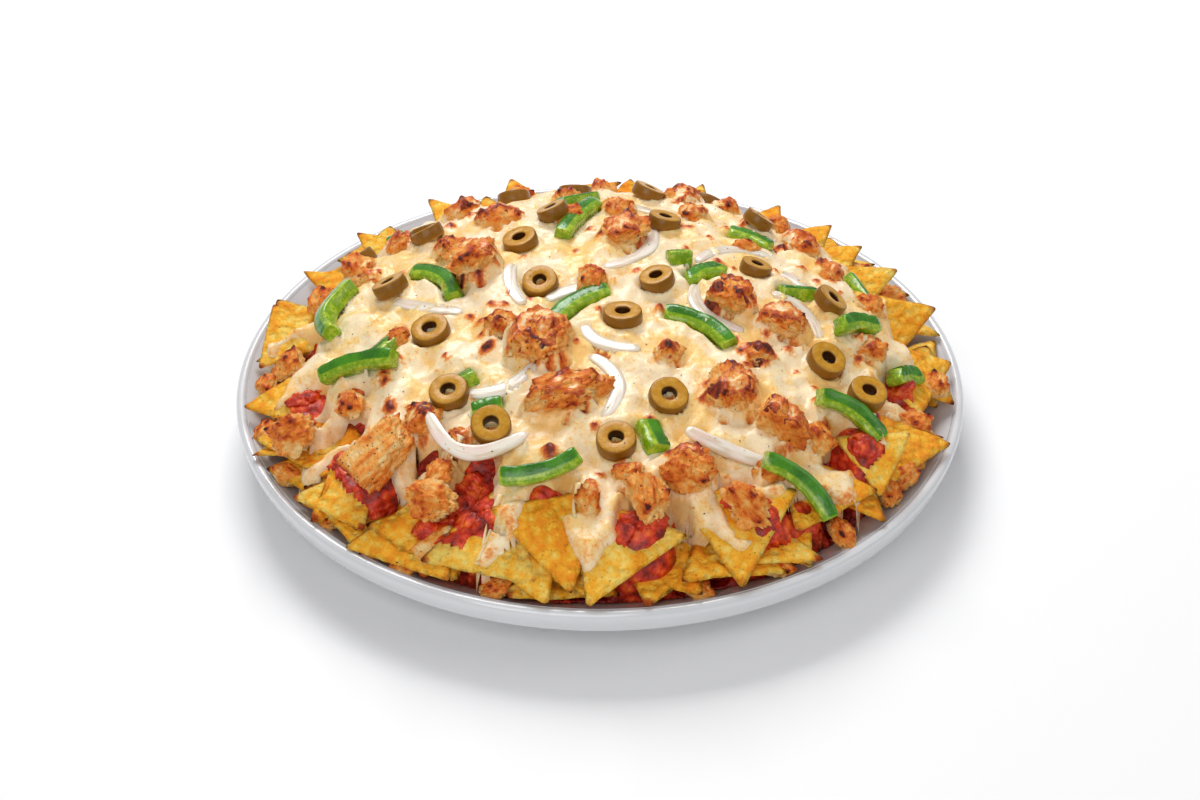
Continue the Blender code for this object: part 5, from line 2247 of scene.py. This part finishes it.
    def settle(self, layer: Layer, topping: Batch, meeting: Meeting, smears: Array) -> None:
        """Let the cheese meet a kind of topping.

        Args:
            layer: The layer to change.
            topping: The pieces of that kind.
            meeting: How it meets them.
            smears: The noise that says where its film lies over them.
        """
        ground = self.ground
        shape = ground.drop(topping)
        there = shape > FAR_BELOW
        halo = ground.widen(shape, 3.2)
        close = ground.blur(there.astype(float), 1.5)
        held = 2.2 * smooth_step(layer.inside, 0, 4)
        change = np.clip(halo + meeting.rim - layer.top, -6, held)
        layer.top = layer.top + np.where(halo > FAR_BELOW, change, 0) * smooth_step(close, 0.03, 0.5)
        filled = -ground.widen(-ground.widen(there.astype(float), 3.2), 3.2)
        hollow = (filled > 0.5) & ~there
        layer.top = np.where(hollow, np.minimum(layer.top, halo - meeting.depth), layer.top)
        # painted shade: hollows inside and between the toppings, such as the olives' holes, are browned dark
        layer.heat_and_shade += 0.45 * hollow
        film = np.minimum(meeting.film_share * smears - meeting.film_less, meeting.film_most)
        smeared = there & (film > 0) & (layer.inside > 2)
        core = -ground.widen(-there.astype(float), 1.2) > 0.5
        below = np.where(core, np.minimum(layer.top, shape - meeting.depth), layer.top)
        layer.top = np.where(smeared, shape + film, below)

    def bake(self, layer: Layer, chunks: Sequence[Batch]) -> None:
        """Open small caves at the feet of the chunks, browned dark as painted shade, and raise browned
        blisters.

        Args:
            layer: The layer to change.
            chunks: The chunks of chicken.
        """
        for x, y, wide in self.cave_spots(chunks):
            gap = np.hypot((self.ground.x - x) / wide, (self.ground.y - y) / wide)
            ring = 0.5 * np.exp(-(((gap - 1.4) / 0.3) ** 2))
            layer.top = layer.top - self.cave_depth * smooth_step(gap, 1.1, 0.5) + ring
            # painted shade: the cave is browned dark to stand for the shaded chicken inside it
            layer.heat_and_shade += 0.34 * smooth_step(gap, 1.2, 0.6)
        for x, y, size in self.blister_spots():
            gap = self.ground.gap(x, y) / size
            layer.top = layer.top + 0.7 * size * np.exp(-((gap / 0.85) ** 2)) * (layer.inside > 1)
            layer.heat_and_shade += 0.5 * np.exp(-((gap / 0.5) ** 2)) + 0.42 * np.exp(-((gap / 1.2) ** 2))

    def build(self, under: Array, toppings: Mapping[str, Sequence[Batch]]) -> Array:
        """The sheet of cheese, standing for its node.

        Args:
            under: Heights of all that it lies on.
            toppings: The pieces that it flows round, by kind.

        Returns:
            The heights of the surface with the cheese on it.
        """
        ground = self.ground
        layer = self.pour(under)
        self.coat(layer, toppings["chicken"])
        self.bake(layer, toppings["chicken"])
        smears = self.grain.layered(ground.flat + 131, 7.0, 2)
        for kind, meeting in self.meetings.items():
            self.settle(layer, toppings[kind][0], meeting, smears)
        layer.top = np.minimum(layer.top, self.ceiling)
        heat_and_shade = np.minimum(layer.heat_and_shade, self.most_heat) * smooth_step(layer.inside, -1, 1)
        heat_and_shade = heat_and_shade * (1 - 0.55 * smooth_step(ground.r, 106, 116))
        # painted shade: how far each place lies below its blurred surroundings, to darken the valleys
        valley = smooth_step(ground.blur(layer.top, 3.5) - layer.top, 0.1, 1.6)
        keep = layer.inside > -2.2
        lip = layer.top - 0.7 - 3.5 * layer.rounding
        bottom = np.minimum(np.maximum(under - 0.8, lip), layer.top - 0.7)
        batch = Batch("melted_cheese")
        stain = np.clip(layer.stain, 0, 1)
        ground.sheet(batch, layer.top, bottom, keep, baked=heat_and_shade, stain=stain, valley=valley)
        surface = np.maximum(under, np.where(keep, layer.top, FAR_BELOW))
        self.add_strings(batch, surface, layer.inside)
        batch.build(self.finish.make(), ["cheese"], "cheese")
        return surface

    def cave_spots(self, chunks: Sequence[Batch]) -> list[Triple]:
        """Places and sizes of the small caves at the front feet of the chunks.

        Args:
            chunks: The chunks of chicken.

        Returns:
            Each cave's x, y and size.
        """
        found = []
        for points in itertools.chain.from_iterable(batch.points for batch in chunks):
            centre = points.mean(0)
            reach = np.ptp(points[:, :2], axis=0) / 2
            for _ in range(2 if reach.mean() > 9 else 1):
                turn = math.radians(self.dice.uniform(215, 325))
                share = self.dice.uniform(0.8, 1.05) * reach
                spot = centre[:2] + share * np.array([math.cos(turn), math.sin(turn)])
                if np.hypot(*spot) < self.baked_reach:
                    size = self.dice.uniform(*self.cave_sizes)
                    found.append((float(spot[0]), float(spot[1]), size))
        return found

    def blister_spots(self) -> list[Triple]:
        """Scatter the browned blisters.

        Returns:
            Each blister's x, y and size.
        """
        dice = self.dice
        found = [(x, y, dice.uniform(*self.spot_sizes)) for x, y in self.spots]
        for _ in range(self.blisters):
            bearing = dice.uniform(0, math.tau)
            distance = self.baked_reach * math.sqrt(dice.uniform(0.02, 1))
            spot = distance * math.cos(bearing), distance * math.sin(bearing)
            found.append((*spot, dice.uniform(*self.blister_sizes)))
        return found

    def spans(self) -> list[tuple[Array, Array]]:
        """Choose where strings are pulled: across the front tears, and down near the edge.

        Returns:
            Each string's start and end.
        """
        dice, found = self.dice, []
        for x, y, radial, across in self.torn:
            if y > self.strings_before:
                continue
            out = np.array([x, y]) / math.hypot(x, y)
            aside = np.array([-out[1], out[0]])
            for _ in range(self.torn_strings):
                middle = np.array([x, y]) + aside * across * dice.uniform(-0.8, 0.8)
                start = middle - out * radial * dice.uniform(0.7, 1.15)
                found.append((start, middle + out * radial * dice.uniform(0.6, 1.3)))
        for _ in range(self.strings):
            bearing, distance = dice.uniform(0, math.tau), dice.uniform(86, 118)
            start = np.array([math.cos(bearing), math.sin(bearing)]) * distance
            end = start * (1 + dice.uniform(5, 11) / distance) + dice.normal(size=2) * 1.2
            found.append((start, end))
        return found

    def add_strings(self, batch: Batch, surface: Array, inside: Array) -> None:
        """Add pulled strings from cheese to cheese.

        Args:
            batch: The piece to add them to.
            surface: The heights that they start and end on.
            inside: How far inside the cheese each place lies.
        """
        for start, end in self.spans():
            ends = np.array([start, end]).T
            heights = self.ground.pick(surface, *ends)
            first, last = np.array([*start, heights[0] - 0.6]), np.array([*end, heights[1] - 0.9])
            drop = first[2] - last[2]
            if not 2.0 < drop < 16 or np.linalg.norm(last - first) < 7:
                continue
            if float(self.ground.pick(inside, *end)) < -1.0 or drop > float(np.linalg.norm(end - start)):
                continue
            self.add_string(batch, first, last)

    def add_string(self, batch: Batch, first: Array, last: Array, stations: int = 14) -> None:
        """Add one string: a thin bent thread that flares at its ends.

        Args:
            batch: The piece to add it to.
            first: Its upper end.
            last: Its lower end.
            stations: How many rings of points it has.
        """
        turns = np.linspace(0, math.tau, 8, endpoint=False)
        circle = np.stack([np.cos(turns), np.sin(turns)], axis=1)
        thin = self.dice.uniform(0.2, 0.42)
        heading = last - first
        side = np.cross((0, 0, 1), heading)
        side /= np.linalg.norm(side)
        over = np.cross(heading / np.linalg.norm(heading), side)
        bend = self.dice.uniform(-1.8, 1.8)
        rings = []
        for share in np.linspace(0, 1, stations):
            sway = bend * side * math.sin(math.pi * share) / np.linalg.norm(side)
            centre = first + heading * share + over * 0.8 * math.sin(math.pi * share) + sway
            flare = thin + 1.6 * (1 - share) ** 4 + 0.9 * share**4
            rings.append(centre + circle[:, :1] * flare * side + circle[:, 1:] * flare * over)
        plain = np.zeros(stations * len(circle))
        faces = tube_faces(stations, len(circle))
        batch.add(np.concatenate(rings), faces, baked=plain, stain=plain + 0.15, valley=plain)


# --- flakes


@dataclass
class Flakes:
    """Small flakes of herb and pepper over the top."""

    count: int = 330
    reach: float = 124.0
    sizes: Pair = (0.2, 0.5)
    finish: HerbFlake = HerbFlake()

    def build(self, ground: Ground, surface: Array) -> bpy.types.Object:
        """All flakes, lying on what shows.

        Args:
            ground: The grid.
            surface: Heights of what shows.

        Returns:
            The new piece.
        """
        dice = np.random.default_rng(SEED + 9)
        batch = Batch("herb_flakes")
        border = [(-1, 0, 0), (0, -0.55, 0.1), (1.1, 0.1, 0), (0.1, 0.6, 0.1)]
        shape = np.array(border + [(0, 0, 0.35), (0, 0, -0.3)])
        steps = [(step, (step + 1) % 4) for step in range(4)]
        faces = [(one, two, 4) for one, two in steps] + [(two, one, 5) for one, two in steps]
        for _ in range(self.count):
            bearing, distance = dice.uniform(0, math.tau), self.reach * math.sqrt(dice.uniform(0, 1))
            x, y = distance * math.cos(bearing), distance * math.sin(bearing)
            height = float(ground.pick(surface, x, y))
            if height < float(DOME.plate_top(distance)):
                continue
            size = dice.uniform(*self.sizes)
            up = ground.normal(surface, x, y, 1.5)
            perch = Perch(np.array([x, y, height + 0.1]), axes_about(up, dice.uniform(0, 360)))
            batch.add(perch.world(shape * size), faces)
        return batch.build(self.finish.make(), [], "chicken")


# --- studio


@dataclass
class Lamp:
    """One soft square light: its bearing, elevation, distance, side and power."""

    name: str
    bearing: float
    elevation: float
    distance: float
    side: float
    power: float


@dataclass
class Studio:
    """A pale floor, soft lights and the camera, in metres."""

    camera_place: Triple = (0.0, -0.7698, 0.5847)
    camera_aim: Triple = (0.0, -0.0188, 0.028)
    lens: float = 68.65
    sensor: float = 36.0
    ambient: float = 0.3
    floor_reach: float = 4.0
    lamps: tuple[Lamp, ...] = (
        Lamp("key", 102, 52, 1.3, 0.7, 13.5),
        Lamp("front_fill", 255, 38, 1.5, 1.0, 9),
        Lamp("side_fill", 350, 40, 1.4, 0.8, 2.5),
    )
    finish: StudioFloor = StudioFloor()

    def build(self) -> None:
        """Put up the floor, lights and camera."""
        scene = bpy.context.scene
        scene.view_settings.view_transform = "Standard"
        world = bpy.data.worlds.new("studio")
        world.use_nodes = True
        world.node_tree.nodes["Background"].inputs["Color"].default_value = (1, 1, 1, 1)
        world.node_tree.nodes["Background"].inputs["Strength"].default_value = self.ambient
        scene.world = world
        mesh = bpy.data.meshes.new("floor")
        corners = [(-1, -1), (1, -1), (1, 1), (-1, 1)]
        points = [(x * self.floor_reach, y * self.floor_reach, 0) for x, y in corners]
        mesh.from_pydata(points, [], [(0, 1, 2, 3)])
        mesh.materials.append(self.finish.make())
        floor = bpy.data.objects.new("floor", mesh)
        scene.collection.objects.link(floor)
        floor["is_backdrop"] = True
        aim = Vector(self.camera_aim)
        for lamp in self.lamps:
            turn, rise = math.radians(lamp.bearing), math.radians(lamp.elevation)
            out = Vector((math.cos(turn) * math.cos(rise), math.sin(turn) * math.cos(rise), math.sin(rise)))
            light = bpy.data.lights.new(lamp.name, "AREA")
            light.size = lamp.side
            light.energy = lamp.power
            self.put(bpy.data.objects.new(lamp.name, light), aim + out * lamp.distance, aim)
        camera = bpy.data.cameras.new("camera")
        camera.lens = self.lens
        camera.sensor_width = self.sensor
        scene.camera = self.put(bpy.data.objects.new("camera", camera), Vector(self.camera_place), aim)

    @staticmethod
    def put(thing: bpy.types.Object, place: Vector, aim: Vector) -> bpy.types.Object:
        """Set a light or camera at a place, facing another.

        Args:
            thing: The light or camera.
            place: Where it goes.
            aim: What it faces.

        Returns:
            The same object.
        """
        thing.location = place
        thing.rotation_euler = (aim - place).to_track_quat("-Z", "Y").to_euler()
        bpy.context.scene.collection.objects.link(thing)
        return thing


def build_all() -> None:
    """Build the whole plate of nachos, from the plate up."""
    Plate().build()
    chips = Chips().build()
    salsa = Salsa()
    salsa_top = salsa.build(chips)
    cheese = Cheese()
    ground, base = cheese.ground, cheese.base
    toppings = {maker.kind: maker(ground, base).build() for maker in (Chicken, Olives, Peppers, Onions)}
    under = np.maximum(ground.drop(chips), salsa.ground.pick(salsa_top, ground.x, ground.y))
    surface = cheese.build(under, toppings)
    for batch in itertools.chain.from_iterable(toppings.values()):
        surface = np.maximum(surface, ground.drop(batch))
    Flakes().build(ground, surface)
    Studio().build()


def corners(box: Sequence[Vector]) -> list[list[float]]:
    """A box's corners as plain lists."""
    return [list(corner) for corner in box]


def main() -> None:
    """Build the looks, and work out the part's size and theirs."""
    logging.basicConfig(level=logging.INFO, format="%(name)s: %(message)s")
    packed = corners(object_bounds())
    build_all()
    {"cad": packed, "visual": corners(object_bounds())}


if __name__ == "__main__":
    frame: Mapping[str, Mapping[str, bpy.types.Object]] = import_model()
    main()
